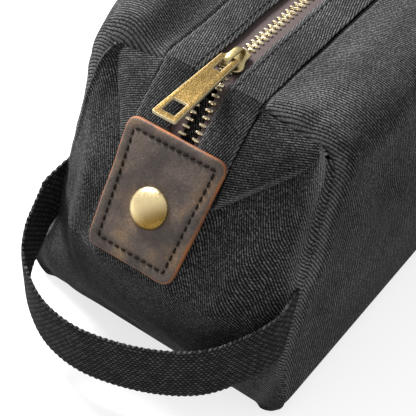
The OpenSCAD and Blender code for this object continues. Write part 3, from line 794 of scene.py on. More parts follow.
def webbing_material(look):
    if "Handle Webbing" in bpy.data.materials:
        return bpy.data.materials["Handle Webbing"]
    mat, s, bsdf = new_material("Handle Webbing")
    weave = s.group(webbing_weave(), Vector=s.cloth_map())
    fleck = s.math("MULTIPLY_ADD", s.math("POWER", weave["Fleck"], 1.6), 1.0, 0.45)
    level = s.math("MULTIPLY", s.math("POWER", weave["Height"], 2.4), fleck)
    rubbed = s.math("MULTIPLY", s.math("MULTIPLY", s.wear_and_highlight(), weave["Fleck"]), 0.3)
    level = s.math("ADD", level, rubbed, clamp=True)
    pale = look.webbing_colour
    s.put(bsdf.inputs["Base Color"], s.mix_colour(level, rgba(pale, 0.04), rgba(pale)))
    bsdf.inputs["Roughness"].default_value = 0.85
    bsdf.inputs["Specular IOR Level"].default_value = 0.08
    s.bump(bsdf, weave["Height"], 1.0, 0.0009)
    return mat


def plain_weave_material(name, colour, shine, pitch):
    """A close, flat weave, for the zip's tape, the lining and the bindings."""
    if name in bpy.data.materials:
        return bpy.data.materials[name]
    mat, s, bsdf = new_material(name)
    weave = s.group(webbing_weave(), Vector=s.cloth_map(), Column=pitch * 0.6, Dash=pitch, Lean=0.5)
    level = s.math("MULTIPLY", weave["Height"], s.math("MULTIPLY_ADD", weave["Fleck"], 0.5, 0.6))
    s.put(bsdf.inputs["Base Color"], s.mix_colour(level, rgba(colour, 0.35), rgba(colour)))
    bsdf.inputs["Roughness"].default_value = 0.8
    bsdf.inputs["Specular IOR Level"].default_value = 0.3
    bsdf.inputs["Sheen Weight"].default_value = shine
    s.bump(bsdf, weave["Height"], 0.3, 0.0003)
    return mat


def leather_material(look):
    if "Oiled Leather" in bpy.data.materials:
        return bpy.data.materials["Oiled Leather"]
    mat, s, bsdf = new_material("Oiled Leather")
    grain = s.group(fine_grain(), Vector=s.place(), Grain=1500.0, Patch=95.0)
    broad = s.group(fine_grain(), Vector=s.place(), Grain=300.0, Patch=48.0)
    base, patches = look.leather_colour, grain["Patches"]
    colour = s.mix_colour(s.span(patches, 0.35, 0.65), rgba(base, 0.5), rgba(base, 1.25))
    spots = s.math("MULTIPLY", s.span(broad["Patches"], 0.46, 0.62, smooth=True), s.span(patches, 0.36, 0.6))
    colour = s.mix_colour(s.math("MULTIPLY", spots, 0.6), colour, rgba(look.leather_pull_colour))
    colour = s.scaled(colour, s.span(grain["Grain"], 0.3, 0.7, 0.62, 1.3))
    rubbed = s.math("MULTIPLY", s.span(s.wear_and_highlight(), 0.25, 0.8, smooth=True), s.span(patches, 0.35, 0.6, 0.25, 1.0))
    colour = s.mix_colour(rubbed, colour, rgba(look.leather_edge_colour))
    s.put(bsdf.inputs["Base Color"], colour)
    s.put(bsdf.inputs["Roughness"], s.span(patches, 0.3, 0.7, 0.5, 0.7))
    bsdf.inputs["Specular IOR Level"].default_value = 0.32
    s.bump(bsdf, s.math("ADD", s.math("MULTIPLY", grain["Specks"], 0.5), grain["Grain"]), 0.35, 0.0003)
    return mat


def metal_material(name, colour, dark, rough, grain_scale, patch, bump, rubbed=None):
    """Aged brass: grainy, darker in patches, with edges rubbed bright; on the rivets the same bright colour is also a
    painted highlight.
    """
    if name in bpy.data.materials:
        return bpy.data.materials[name]
    mat, s, bsdf = new_material(name)
    grain = s.group(fine_grain(), Vector=s.place(), Grain=grain_scale, Patch=260.0)
    level = s.math("ADD", s.span(grain["Grain"], 0.32, 0.68, 0.0, 1 - patch),
                   s.span(grain["Patches"], 0.3, 0.7, 0.0, patch))
    out = s.mix_colour(level, rgba(dark), rgba(colour))
    # Bright colour from the wear attribute: rubbed edges, and on the rivets a painted highlight on the dome's upper
    # side.
    if rubbed is not None:
        out = s.mix_colour(s.wear_and_highlight(), out, rgba(rubbed))
    s.put(bsdf.inputs["Base Color"], out)
    bsdf.inputs["Metallic"].default_value = 1.0
    s.put(bsdf.inputs["Roughness"], s.span(grain["Grain"], 0.3, 0.7, rough + 0.12, rough - 0.05))
    s.bump(bsdf, grain["Grain"], bump, 0.0002)
    return mat


def thread_material(name, colour):
    if name in bpy.data.materials:
        return bpy.data.materials[name]
    mat, s, bsdf = new_material(name)
    grain = s.group(fine_grain(), Vector=s.place(), Grain=5000.0, Patch=600.0)
    s.put(bsdf.inputs["Base Color"], s.mix_colour(grain["Grain"], rgba(colour, 0.5), rgba(colour, 1.4)))
    bsdf.inputs["Roughness"].default_value = 0.9
    bsdf.inputs["Specular IOR Level"].default_value = 0.1
    return mat


# How steeply the ribs run on each part of the bag, in degrees, and how their pitch looks there.
RIBS = {"side": (104, 1.0), "end": (46, 0.84), "facet": (20, 0.88), "facing": (18, 0.9)}


def canvas(look, part):
    slope, share = RIBS[part]
    level = look.canvas_colour[0]
    return cloth_material("Canvas " + part.title(), level * 0.02, level * 5.4, math.radians(slope),
                          look.rib_pitch / MM * share, look.rib_depth)


# ---- Settings ----

class KitBagLook(bpy.types.PropertyGroup):
    """Sizes and colours of the bag's finish"""
    rib_pitch: bpy.props.FloatProperty(name="Rib Pitch", description="Distance between the twill's ribs",
                                       default=0.00098, min=0.0008, max=0.003, unit="LENGTH", precision=5)
    rib_depth: bpy.props.FloatProperty(name="Rib Depth", description="How strongly the ribs stand out", default=0.9,
                                       min=0, max=1, subtype="FACTOR")
    canvas_colour: bpy.props.FloatVectorProperty(name="Canvas", description="Mean colour of the washed canvas",
                                                 default=(0.0165, 0.0165, 0.0168), subtype="COLOR", min=0, max=1)
    webbing_colour: bpy.props.FloatVectorProperty(name="Webbing", description="Colour of the handle's paler yarns",
                                                  default=(0.062, 0.062, 0.062), subtype="COLOR", min=0, max=1)
    tape_colour: bpy.props.FloatVectorProperty(name="Zip Tape", description="Colour of the zip's tape",
                                               default=(0.060, 0.036, 0.034), subtype="COLOR", min=0, max=1)
    lining_colour: bpy.props.FloatVectorProperty(name="Lining", description="Colour of the lining",
                                                 default=(0.20, 0.185, 0.165), subtype="COLOR", min=0, max=1)
    leather_colour: bpy.props.FloatVectorProperty(name="Leather", description="Main colour of the oiled leather",
                                                  default=(0.070, 0.051, 0.041), subtype="COLOR", min=0, max=1)
    leather_pull_colour: bpy.props.FloatVectorProperty(name="Leather Pull-up",
                                                       description="Colour of the rubbed patches",
                                                       default=(0.15, 0.09, 0.042), subtype="COLOR", min=0, max=1)
    leather_edge_colour: bpy.props.FloatVectorProperty(name="Leather Edge", description="Colour of the raw cut edge",
                                                       default=(0.22, 0.07, 0.018), subtype="COLOR", min=0, max=1)
    brass_colour: bpy.props.FloatVectorProperty(name="Brass", description="Colour of the aged brass",
                                                default=(0.62, 0.47, 0.22), subtype="COLOR", min=0, max=1)
    stitch_pitch: bpy.props.FloatProperty(name="Stitch Pitch", description="Distance from one stitch to the next",
                                          default=0.0029, min=0.002, max=0.006, unit="LENGTH", precision=5)
    thread_width: bpy.props.FloatProperty(name="Thread Width", description="Width of the patches' thread",
                                          default=0.0008, min=0.0004, max=0.0015, unit="LENGTH", precision=5)


class KitBagStage(bpy.types.PropertyGroup):
    """Light and floor of the studio"""
    key_power: bpy.props.FloatProperty(name="Key Light", description="Power of the large soft light", default=90.0,
                                       min=1, unit="POWER")
    sky_strength: bpy.props.FloatProperty(name="Surround", description="Brightness of the pale surroundings",
                                          default=1.0, min=0, max=3)
    floor_colour: bpy.props.FloatVectorProperty(name="Floor", description="Colour of the plain floor",
                                                default=(0.3, 0.3, 0.3), subtype="COLOR", min=0, max=1)
    floor_glow: bpy.props.FloatProperty(name="Floor Glow", description="Light that the floor gives off itself",
                                        default=0.72, min=0, max=2)


# ---- Operators ----

class KITBAG_OT_stage(bpy.types.Operator):
    """Sets the floor, the soft light and the camera"""
    bl_idname = "kit_bag.stage"
    bl_label = "Studio"

    def execute(self, context):
        stage = context.scene.kit_bag_stage
        view = context.scene.view_settings
        view.view_transform = "Standard"
        world = bpy.data.worlds.new("Surround")
        world.use_nodes = True
        back = world.node_tree.nodes["Background"]
        back.inputs[0].default_value = (1, 1, 1, 1)
        back.inputs[1].default_value = stage.sky_strength
        context.scene.world = world
        me = bpy.data.meshes.new("Floor")
        f = FLOOR_HALF
        me.from_pydata([(-f, -f, 0), (f, -f, 0), (f, f, 0), (-f, f, 0)], [], [(0, 1, 2, 3)])
        floor = bpy.data.objects.new("Floor", me)
        mat, _, bsdf = new_material("Floor Paper")
        bsdf.inputs["Base Color"].default_value = (*stage.floor_colour, 1)
        bsdf.inputs["Roughness"].default_value = 1.0
        bsdf.inputs["Specular IOR Level"].default_value = 0.0
        bsdf.inputs["Emission Color"].default_value = (1, 1, 1, 1)
        bsdf.inputs["Emission Strength"].default_value = stage.floor_glow
        me.materials.append(mat)
        context.scene.collection.objects.link(floor)
        key = bpy.data.lights.new("Key Light", "AREA")
        key.shape, key.size, key.energy = "DISK", KEY_WIDTH, stage.key_power
        lamp = bpy.data.objects.new("Key Light", key)
        aim = Vector(KEY_SIDE).normalized()
        lamp.location = aim * KEY_AWAY
        lamp.rotation_mode = "QUATERNION"
        lamp.rotation_quaternion = aim.to_track_quat("Z", "Y")
        context.scene.collection.objects.link(lamp)
        self.camera(context.scene)
        return {"FINISHED"}

    def camera(self, scene):
        az, el, roll = (math.radians(v) for v in (CAMERA_AZIMUTH, CAMERA_HEIGHT, CAMERA_ROLL))
        away = Vector((math.sin(az) * math.cos(el), -math.cos(az) * math.cos(el), math.sin(el)))
        right = Vector((math.cos(az), math.sin(az), 0))
        up = away.cross(right)
        c, t = math.cos(roll), math.sin(roll)
        right, up = c * right + t * up, c * up - t * right
        cam = bpy.data.objects.new("Camera", bpy.data.cameras.new("Camera"))
        cam.data.lens, cam.data.sensor_width = LENS, SENSOR
        cam.data.clip_start, cam.data.clip_end = 0.01, 20
        cam.rotation_mode = "QUATERNION"
        cam.rotation_quaternion = Matrix((right, up, away)).transposed().to_quaternion()
        cam.location = Vector(CAMERA_AT) * MM
        scene.collection.objects.link(cam)
        scene.camera = cam


class KITBAG_OT_sides(bpy.types.Operator):
    """Builds the base and the two side panels"""
    bl_idname = "kit_bag.sides"
    bl_label = "Base and Sides"

    def execute(self, context):
        look = context.scene.kit_bag_look
        mat = canvas(look, "side")
        # Paler along the end seams: partly wear, partly a painted highlight on the seam ridges.
        wear_and_highlight = lambda p: hump(HALF_L - lean_in(np.minimum(p[..., 2], FOLD_Z)) - np.abs(p[..., 0]), 1.6, 1.5) * 1.2
        for name, side in SIDES.items():
            surface = lambda a, b, side=side: wrap(a, b, side)
            obj = slab("side_canvas_" + name, surface, np.linspace(0, 2.5, 110), spread(130, 0.55), CANVAS_T, mat,
                       wear_and_highlight)
            settle(obj, "bag", ["side_panel_" + name])
        half_x, half_y = HALF_L - 2.6, HALF_W - BASE_R + 0.2

        def base(a, b):
            x, y = np.broadcast_arrays(-half_x + 2 * half_x * a, -half_y + 2 * half_y * b)
            lift = 0.5 * (1 - ease(0.6, 1.0, np.abs(x) / half_x)) * (0.5 + 0.5 * ripple(x, y, 5, 60))
            return np.stack([x, y, lift], -1), np.stack([x, y], -1)

        obj = slab("base_canvas", base, spread(60, 0.3), spread(30, 0.3), CANVAS_T, mat)
        settle(obj, "bag", ["base_panel"])
        return {"FINISHED"}


class KITBAG_OT_ends(bpy.types.Operator):
    """Builds the end panels and the folded corners above them"""
    bl_idname = "kit_bag.ends"
    bl_label = "Ends and Folded Corners"

    def execute(self, context):
        look = context.scene.kit_bag_look
        mat, facet = canvas(look, "end"), canvas(look, "facet")
        for name, way in ENDS.items():
            surface = lambda a, b, way=way: end_face(b, a * mix(0.86, 1.0, ease(0.5, 0.9, np.abs(b))), way)
            across = 2 * spread(150, 0.45) - 1
            # Paler along the end seams: partly wear, partly a painted highlight on the seam ridges.
            wear_and_highlight = lambda p: hump((1 - np.abs(p[..., 1]) / outline(2.5 * clamp01(p[..., 2] / FOLD_Z))[0]) * 50, 2, 2)
            obj = slab(name + "_end_canvas", surface, np.linspace(0, 0.985, 140), across, CANVAS_T, mat, wear_and_highlight)
            settle(obj, "bag", [name + "_end_panel"])
            for side_name, side in SIDES.items():
                self.corner(name, way, side_name, side, facet)
        return {"FINISHED"}

    def corner(self, end, way, side_name, side, mat):
        """The top's cloth folded down over an end, from the cross seam to the patch, with a rolled lower edge."""
        side_line = np.array([(97.0, 19.6, 101.5), (106.5, 19.2, 92.6), (116.5, 20.0, 80.6)])

        def face(a, b):
            a, b = np.broadcast_arrays(np.asarray(a, float), np.asarray(b, float))
            f, g = clamp01(a), clamp01(b)
            seam = np.abs(wrap(2.5 + 1.5 * g, 0.0, 1)[0])
            apex, cross = np.abs(wrap(2.5, 0.0, 1)[0]), np.abs(wrap(4.0, 0.0, 1)[0])
            stops = np.concatenate([[cross], side_line])
            edge = np.stack([np.interp(f, (0, 0.3, 0.62, 1.0), stops[:, i]) for i in range(3)], -1)
            low_edge = apex + (stops[-1] - apex) * g[..., None]
            p = mix(seam, low_edge, f[..., None])
            p = p + (edge - mix(cross, stops[-1], f[..., None])) * g[..., None]
            normal = unit_rows(np.array([0.64, 0.16, 0.75]))
            puff = 1.6 * np.sin(np.pi * f) * np.sin(np.pi * g ** 0.9)
            crumple = ripple(p[..., 1], p[..., 2], 61 + way + 3 * side, 30)
            puff = puff + 0.3 * crumple * np.sin(np.pi * g) * ease(0, 0.2, f)
            puff = puff - 1.3 * ease(0.95, 1.0, g) * ease(0, 0.1, f)
            roll = clamp01((a - 1) / 0.12)
            ang = roll * math.radians(170)
            low = unit_rows(stops[-1] - stops[-2])
            radius = 2.0 * ease(0.0, 0.25, g)
            p = p + normal * (puff * (1 - roll) - radius * (1 - np.cos(ang)))[..., None]
            p = p + low * (radius * np.sin(ang))[..., None]
            down = (p[..., 2] - p[..., 0]) * 0.72 - 8 * (a - f)
            return p * np.array([way, side, 1]), np.stack([-side * p[..., 1], down], -1)

        rows = np.concatenate([spread(30, 0.6), 1 + np.linspace(0.01, 0.12, 9)])
        edges = hump(rows, 1.02, 0.03) * 0.8 + hump(rows, 0.015, 0.02)
        wear_and_highlight = lambda p: np.repeat(edges[:, None], p.shape[1], 1)
        obj = slab(f"{end}_corner_{side_name}", face, rows, spread(60, 0.5), 0.9, mat, wear_and_highlight)
        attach(obj, "bag")


class KITBAG_OT_top(bpy.types.Operator):
    """Builds the top panels, each side in a near and a far half"""
    bl_idname = "kit_bag.top"
    bl_label = "Top Panels"

    def execute(self, context):
        look = context.scene.kit_bag_look
        mat = canvas(look, "side")
        # Paler along the cross seams and towards the top of the top panels.
        wear_and_highlight = lambda p: hump(TOP_HALF - np.abs(p[..., 0]), 1.2, 1.4) * 0.9 + 0.25 * ease(98, 106, p[..., 2])
        for name, side in SIDES.items():
            surface = lambda a, b, side=side: wrap(a, b, side)
            for end, s0 in (("near", 0.0), ("far", 0.5)):
                obj = slab(f"top_canvas_{name}_{end}", surface, np.linspace(2.5, 4.0, 60),
                           s0 + 0.5 * spread(90, 0.3), CANVAS_T, mat, wear_and_highlight)
                settle_flap(obj, ["top_panel_" + name])
        return {"FINISHED"}


class KITBAG_OT_facings(bpy.types.Operator):
    """Builds the straight facings beside the zip and their ends under the patches"""
    bl_idname = "kit_bag.facings"
    bl_label = "Zip Facings"

    def execute(self, context):
        look = context.scene.kit_bag_look
        mat = canvas(look, "facing")
        middle, half = (FACING_IN + FACING_OUT) / 2, (FACING_OUT - FACING_IN) / 2
        section = flat_section(half, CANVAS_T, 0.55, 26)
        section[:, 1] += 0.35 * hump(section[:, 0], 0, 4.5) * (section[:, 1] > -0.8)
        edge = lambda sec: clamp01((np.abs(sec[..., 0]) - (half - 1.6)) / 1.6)
        thread = thread_material("Facing Thread", (0.03, 0.03, 0.032))
        stitch = stitch_part(2.2, 0.28)
        for name, side in SIDES.items():
            shape = section * np.array([side, 1])
            for end in ("near", "far"):
                x = np.linspace(-TOP_HALF, 0, 91) if end == "near" else np.linspace(0, TOP_HALF, 91)
                line = np.stack([x, 0 * x + side * middle, HEIGHT - top_dip(x) + 0.25], -1)
                line[:, 1] += 0.25 * ripple(x, x * 0, 71 + side, 34)
                obj = sweep(f"facing_{name}_{end}", line, [(0, 1, 0)] * len(x), shape, mat, wear_and_highlight=edge)
                settle_flap(obj, ["facing_" + name])
                seam = line + np.array([0, side * (2.2 - half), 0.12])
                sewn = along_path(f"facing_stitches_{name}_{end}", [seam], [[(0, 0, 1)] * len(x)], stitch,
                                  look.stitch_pitch / MM, thread, wobble=0.06, seed=3 + side)
                settle_flap(sewn, [])
            for end, way in ENDS.items():
                flat = strip_line(way, 40)
                line = np.stack([flat[:, 0], side * middle + 0 * flat[:, 0], flat[:, 1] + 0.25], -1)
                obj = sweep(f"{end}_facing_end_{name}", line, [(0, 1, 0)] * len(line), shape, mat, wear_and_highlight=edge)
                settle(obj, "bag", [end + "_zip_facings"])
        return {"FINISHED"}


class KITBAG_OT_tapes(bpy.types.Operator):
    """Builds the zip's tapes"""
    bl_idname = "kit_bag.tapes"
    bl_label = "Zip Tapes"

    def execute(self, context):
        look = context.scene.kit_bag_look
        mat = plain_weave_material("Zip Tape", look.tape_colour, 0.1, 0.85)
        for name, side in SIDES.items():
            for end in ("near", "far"):
                x = np.linspace(-TOP_HALF, 0, 91) if end == "near" else np.linspace(0, TOP_HALF, 61)
                z = TAPE_Z + TAPE_T - top_dip(x)
                obj = self.tape(f"tape_{name}_{end}", x, z, side, row_open(x, side), mat)
                settle_flap(obj, ["zip_tape_" + name])
            for end, way in ENDS.items():
                flat = strip_line(way, 30)
                wide = end_open(flat, way, side)
                drop = np.linspace(HEIGHT - TAPE_Z - TAPE_T, 1.7, 30)
                obj = self.tape(f"{end}_tape_end_{name}", flat[:, 0], flat[:, 1] - drop, side, wide, mat)
                settle(obj, "bag", [end + "_zip_tapes"])
        return {"FINISHED"}

    def tape(self, name, x, z, side, wide, mat):
        """One tape along (x, z), whose inner edge stands off the middle by wide more than the closed zip's."""
        inner = 1.0 + wide
        mid, half = (inner + TAPE_OUT) / 2, (TAPE_OUT - inner) / 2
        base = flat_section(1.0, TAPE_T, 0.1, 12)
        shape = np.stack([base * np.array([side * h, 1]) for h in half])
        line = np.stack([x, side * mid, z], -1)
        return sweep(name, line, [(0, 1, 0)] * len(x), shape, mat)


class KITBAG_OT_teeth(bpy.types.Operator):
    """Builds the zip's two rows of teeth"""
    bl_idname = "kit_bag.teeth"
    bl_label = "Zip Teeth"

    def execute(self, context):
        mat = metal_material("Zip Teeth", (0.62, 0.55, 0.40), (0.30, 0.24, 0.15), 0.28, 2500.0, 0.5, 0.1)
        tooth = self.tooth()
        for name, side in SIDES.items():
            shift = TOOTH_PITCH / 2 if side > 0 else 0
            for end in ("near", "far"):
                spans = [(0.4 + shift, TOP_HALF - 1.0)]
                if end == "near":
                    spans = [(-TOP_HALF + 0.4 + shift, SLIDER_X - 5.6), (SLIDER_X + 6.4 + shift, -0.8)]
                paths, ups = [], []
                for x0, x1 in spans:
                    x = np.linspace(x0, x1, max(int((x1 - x0) / 1.5), 3))
                    line = np.stack([x, side * row_open(x, side), TOOTH_Z - top_dip(x)], -1)
                    paths.append(line if side > 0 else line[::-1])
                    ups.append([(0, 0, 1)] * len(x))
                obj = along_path(f"teeth_{name}_{end}", paths, ups, tooth, TOOTH_PITCH, mat, wobble=0.05, size=0.03,
                                 seed=9 + side)
                settle_flap(obj, ["zip_teeth_" + name])
            for end, way in ENDS.items():
                flat = strip_line(way, 60)[5:-9]
                slope = unit_rows(np.gradient(flat, axis=0))
                out = np.stack([np.abs(slope[:, 1]) * way, 0 * slope[:, 0], np.abs(slope[:, 0])], -1)
                line = np.stack([flat[:, 0], side * end_open(flat, way, side), flat[:, 1]], -1) - out * 1.9
                step = 1 if (side > 0) == (way > 0) else -1
                obj = along_path(f"{end}_teeth_end_{name}", [line[::step]], [out[::step]], tooth, TOOTH_PITCH, mat,
                                 wobble=0.06, size=0.03, seed=5)
                settle(obj, "bag", [end + "_zip_teeth"])
        return {"FINISHED"}

    def tooth(self):
        """One tooth: a rounded bar with a narrow head that meets the other row."""
        # Distance from the head's tip, half width and half height.
        stops = ((-0.75, 0.3, 0.55), (-0.5, 0.5, 0.85), (0.2, 0.64, 1.02), (1.0, 0.68, 1.1), (1.9, 0.66, 1.06),
                 (2.4, 0.45, 0.8))
        rows = [[(-w, -0.6 * h), (-w, 0.6 * h), (-0.5 * w, h), (0.5 * w, h), (w, 0.6 * h), (w, -0.6 * h),
                 (0.5 * w, -h), (-0.5 * w, -h)] for _, w, h in stops]
        line = [(0, y, 0) for y, _, _ in stops]
        return hidden_part(sweep("Tooth", line, [(1, 0, 0)] * len(stops), np.array(rows), None))


def rounded_loop(corners, radius):
    """A closed outline with its corners cut round."""
    pts = []
    for i, here in enumerate(corners):
        p0, p1, p2 = (np.array(c, float) for c in (corners[i - 1], here, corners[(i + 1) % len(corners)]))
        a, b = p0 - p1, p2 - p1
        la, lb = np.linalg.norm(a), np.linalg.norm(b)
        cut = min(radius, la * 0.45, lb * 0.45)
        start, stop = p1 + a / la * cut, p1 + b / lb * cut
        pts += [(1 - t) ** 2 * start + 2 * t * (1 - t) * p1 + t * t * stop for t in np.linspace(0, 1, 6)]
    return pts


def plate(name, points, holes, thick, bevel, height, material, rounded):
    """A flat plate with bevelled edges round its outline and its holes, from points in millimetres."""
    curve = bpy.data.curves.new(name, "CURVE")
    curve.dimensions, curve.fill_mode = "2D", "BOTH"
    curve.extrude = max(thick / 2 - bevel, 0.01) * MM
    curve.bevel_depth, curve.bevel_resolution = bevel * MM, 2
    for loop, radius in [(points, rounded)] + [(h, 0.7) for h in holes]:
        pts = rounded_loop(loop, radius)
        spline = curve.splines.new("POLY")
        spline.points.add(len(pts) - 1)
        for q, p in zip(spline.points, pts):
            q.co = (p[0] * MM, p[1] * MM, 0, 1)
        spline.use_cyclic_u = True
    temp = bpy.data.objects.new(name, curve)
    bpy.context.scene.collection.objects.link(temp)
    bpy.context.view_layer.update()
    graph = bpy.context.evaluated_depsgraph_get()
    me = bpy.data.meshes.new_from_object(temp.evaluated_get(graph))
    bpy.data.objects.remove(temp)
    bm = bmesh.new()
    bm.from_mesh(me)
    bmesh.ops.remove_doubles(bm, verts=bm.verts[:], dist=1e-7)
    bmesh.ops.recalc_face_normals(bm, faces=bm.faces[:])
    bmesh.ops.translate(bm, verts=bm.verts[:], vec=(0, 0, height * MM))
    bm.to_mesh(me)
    bm.free()
    z = np.array([v.co.z for v in me.vertices]) / MM - height
    me.attributes.new("wear_and_highlight", "FLOAT", "POINT").data.foreach_set(
        "value", np.where(np.abs(z) < thick / 2 - 0.02, 1.0, 0.0).astype(np.float32))
    me.shade_smooth()
    me.set_sharp_from_angle(angle=math.radians(35))
    obj = bpy.data.objects.new(name, me)
    bpy.context.scene.collection.objects.link(obj)
    me.materials.clear()
    if material:
        me.materials.append(material)
    return obj


class KITBAG_OT_slider(bpy.types.Operator):
    """Builds the slider with its two plates, its side walls and the bridge that holds the pull tab"""
    bl_idname = "kit_bag.slider"
    bl_label = "Slider"

    def execute(self, context):
        mat = metal_material("Slider Brass", (0.46, 0.38, 0.20), (0.22, 0.17, 0.07), 0.26, 1500.0, 0.6, 0.05,
                             (0.48, 0.40, 0.23))
        half = [(5.5, 3.2), (1.2, 3.4), (-0.6, 4.3), (-2.4, 5.3), (-4.6, 5.3), (-5.5, 3.4)]
        shape = [(SLIDER_X + x, y) for x, y in half] + [(SLIDER_X + x, -y) for x, y in half[::-1]]
        parts = [plate("top", shape, [], 1.0, 0.35, SLIDER_TOP - 0.5, None, 1.3),
                 plate("low", shape, [], 1.0, 0.3, 2 * TOOTH_Z - SLIDER_TOP + 0.5, None, 1.3)]
        for side in (-1, 1):
            wall = [(SLIDER_X - 4.4, side * 4.3), (SLIDER_X - 2.2, side * 4.3), (SLIDER_X - 2.2, side * 5.15),
                    (SLIDER_X - 4.4, side * 5.15)]
            parts.append(plate("wall", wall, [], 1.0, 0.2, SLIDER_TOP - 1.2, None, 0.3))
        t = np.linspace(0, 1, 33)
        path = np.array([(4.4, -0.4), (4.5, 0.9), (3.7, 2.3), (2.0, 3.0), (-1.0, 3.05), (-3.6, 2.9), (-5.0, 2.0),
                         (-5.2, 0.6), (-4.9, -0.4)])
        run = np.linspace(0, 1, len(path))
        x, z = relax(np.stack([np.interp(t, run, path[:, i]) for i in (0, 1)], -1), 2).T
        line = np.stack([SLIDER_X + x, 0 * x, SLIDER_TOP + z], -1)
        wide = 1.25 + 0.55 * np.abs(2 * t - 1) ** 3 + 0.25 * hump(t, 0.5, 0.2)
        blunt = lambda v, power: math.copysign(abs(v) ** power, v)
        ring = [(blunt(math.cos(a), 0.6), 0.45 * blunt(math.sin(a), 0.7))
                for a in np.linspace(0, 2 * math.pi, 17)[:-1]]
        section = np.array([[(w * px, py) for px, py in ring] for w in wide])
        parts.append(sweep("bridge", line, [(0, 1, 0)] * len(line), section, None))
        obj = join("brass_slider", parts, mat)
        settle(obj, "slider", ["slider_body"])
        return {"FINISHED"}


class KITBAG_OT_pull_tab(bpy.types.Operator):
    """Builds the pull tab with its window and hinge bar"""
    bl_idname = "kit_bag.pull_tab"
    bl_label = "Pull Tab"

    def execute(self, context):
        c = context.scene.kit_bag_look.brass_colour
        mat = metal_material("Tab Brass", shade(c, 0.25, 0.215, 0.14), shade(c, 0.035, 0.028, 0.015), 0.5, 2200.0,
                             0.2, 0.6, (0.36, 0.30, 0.19))
        end, near = TAB_X - TAB_L + 1.1, TAB_X + 1.1
        shape = [(near, -3.7), (near, 3.7), (end, TAB_W / 2), (end, -TAB_W / 2)]
        window = [(end + 2.0, -3.1), (end + 2.0, 3.1), (end + 9.6, 3.1), (end + 9.6, -3.1)]
        hinge = [(TAB_X - 7.6, -1.9), (TAB_X - 7.6, 1.9), (TAB_X - 0.7, 1.9), (TAB_X - 0.7, -1.9)]
        obj = plate("brass_pull_tab", shape, [window, hinge], 1.35, 0.3, TAB_Z, mat, 0.9)
        settle(obj, "pull", ["pull_tab"])
        return {"FINISHED"}


class KITBAG_OT_patches(bpy.types.Operator):
    """Builds the leather patches and the stitches that hold them"""
    bl_idname = "kit_bag.patches"
    bl_label = "Leather Patches"

    def ring(self, inset):
        """The patch's rounded outline, moved in from its edge, as (down, across) from its middle."""
        top, low, end = PATCH_W / 2 - inset, PATCH_END_W / 2 - inset, PATCH_L / 2 - inset
        corners = np.array([(-end, -top), (end, -low), (end, low), (-end, top)])
        cut = max(PATCH_R - inset, 0.9)
        cut_in = lambda p, q: p + (q - p) / np.linalg.norm(q - p) * cut
        pts = []
        for i in range(4):
            before, here, after = corners[i - 1], corners[i], corners[(i + 1) % 4]
            start, stop, following = cut_in(here, before), cut_in(here, after), cut_in(after, here)
            pts += [(1 - t) ** 2 * start + 2 * t * (1 - t) * here + t * t * stop for t in np.linspace(0, 1, 11)]
            pts += [mix(stop, following, t) for t in np.linspace(0, 1, 49)[1:-1]]
        return np.array(pts)

    def execute(self, context):
        look = context.scene.kit_bag_look
        leather = leather_material(look)
        thread = thread_material("Patch Thread", (0.010, 0.007, 0.005))
        stitch = stitch_part(look.stitch_pitch / MM * 0.72, look.thread_width / MM / 2)
        # Steps in from the edge, and the height there: the cut edge, the rounded rim, the stitched groove, the face.
        levels = [(0.5, 0.0), (0.12, 0.15), (0.0, 0.5), (0.0, 1.5), (0.1, 1.85), (0.4, 2.1), (0.9, 2.25), (1.7, 2.3),
                  (2.6, 2.28), (3.2, 2.2), (3.6, 2.0), (4.0, 1.88), (4.4, 2.0), (4.9, 2.2), (6.0, 2.32), (8.0, 2.4),
                  (10.5, 2.42), (13.0, 2.4), (15.5, 2.4), (17.2, 2.4)]
        for end, way in ENDS.items():
            rows = []
            for inset, up in levels:
                r = self.ring(inset)
                waves = ripple(r[:, 0], r[:, 1], 31 + way, 40)
                down, across = r[:, 0] * (1 + 0.003 * waves), r[:, 1] * (1 + 0.006 * waves)
                lift = up + 0.22 * waves * ease(0.2, 2.0, up)
                dent = 0.45 * hump(np.hypot(down + PATCH_L / 2 - RIVET_DOWN, across), 7.2, 2.6)
                rows.append(slope_point(way, PATCH_L / 2 + down, across, GAP + lift - dent * (up > 1.8)))
            p = np.array(rows)
            count, n = p.shape[:2]
            edge = np.array([1.0, 1, 1, 1, 0.95, 0.55, 0.2, 0.05] + [0.0] * (count - 8))
            obj = build_mesh(end + "_leather_patch", p.reshape(-1, 3), tube_faces(count, n), None,
                             np.repeat(edge, n), None, leather, 70)
            settle(obj, "bag", [end + "_patch"])
            r = self.ring(4.0)
            r = np.concatenate([r, r[:1]])
            line = slope_point(way, PATCH_L / 2 + r[:, 0], r[:, 1], GAP + 1.98)
            out = np.array([way * math.sin(SLOPE_ANGLE), 0, math.cos(SLOPE_ANGLE)])
            sewn = along_path(end + "_patch_stitches", [line], [[tuple(out)] * len(line)], stitch,
                              look.stitch_pitch / MM, thread, slant=0.12, wobble=0.1, seed=17)
            settle(sewn, "bag", [end + "_patch_thread"])
        return {"FINISHED"}


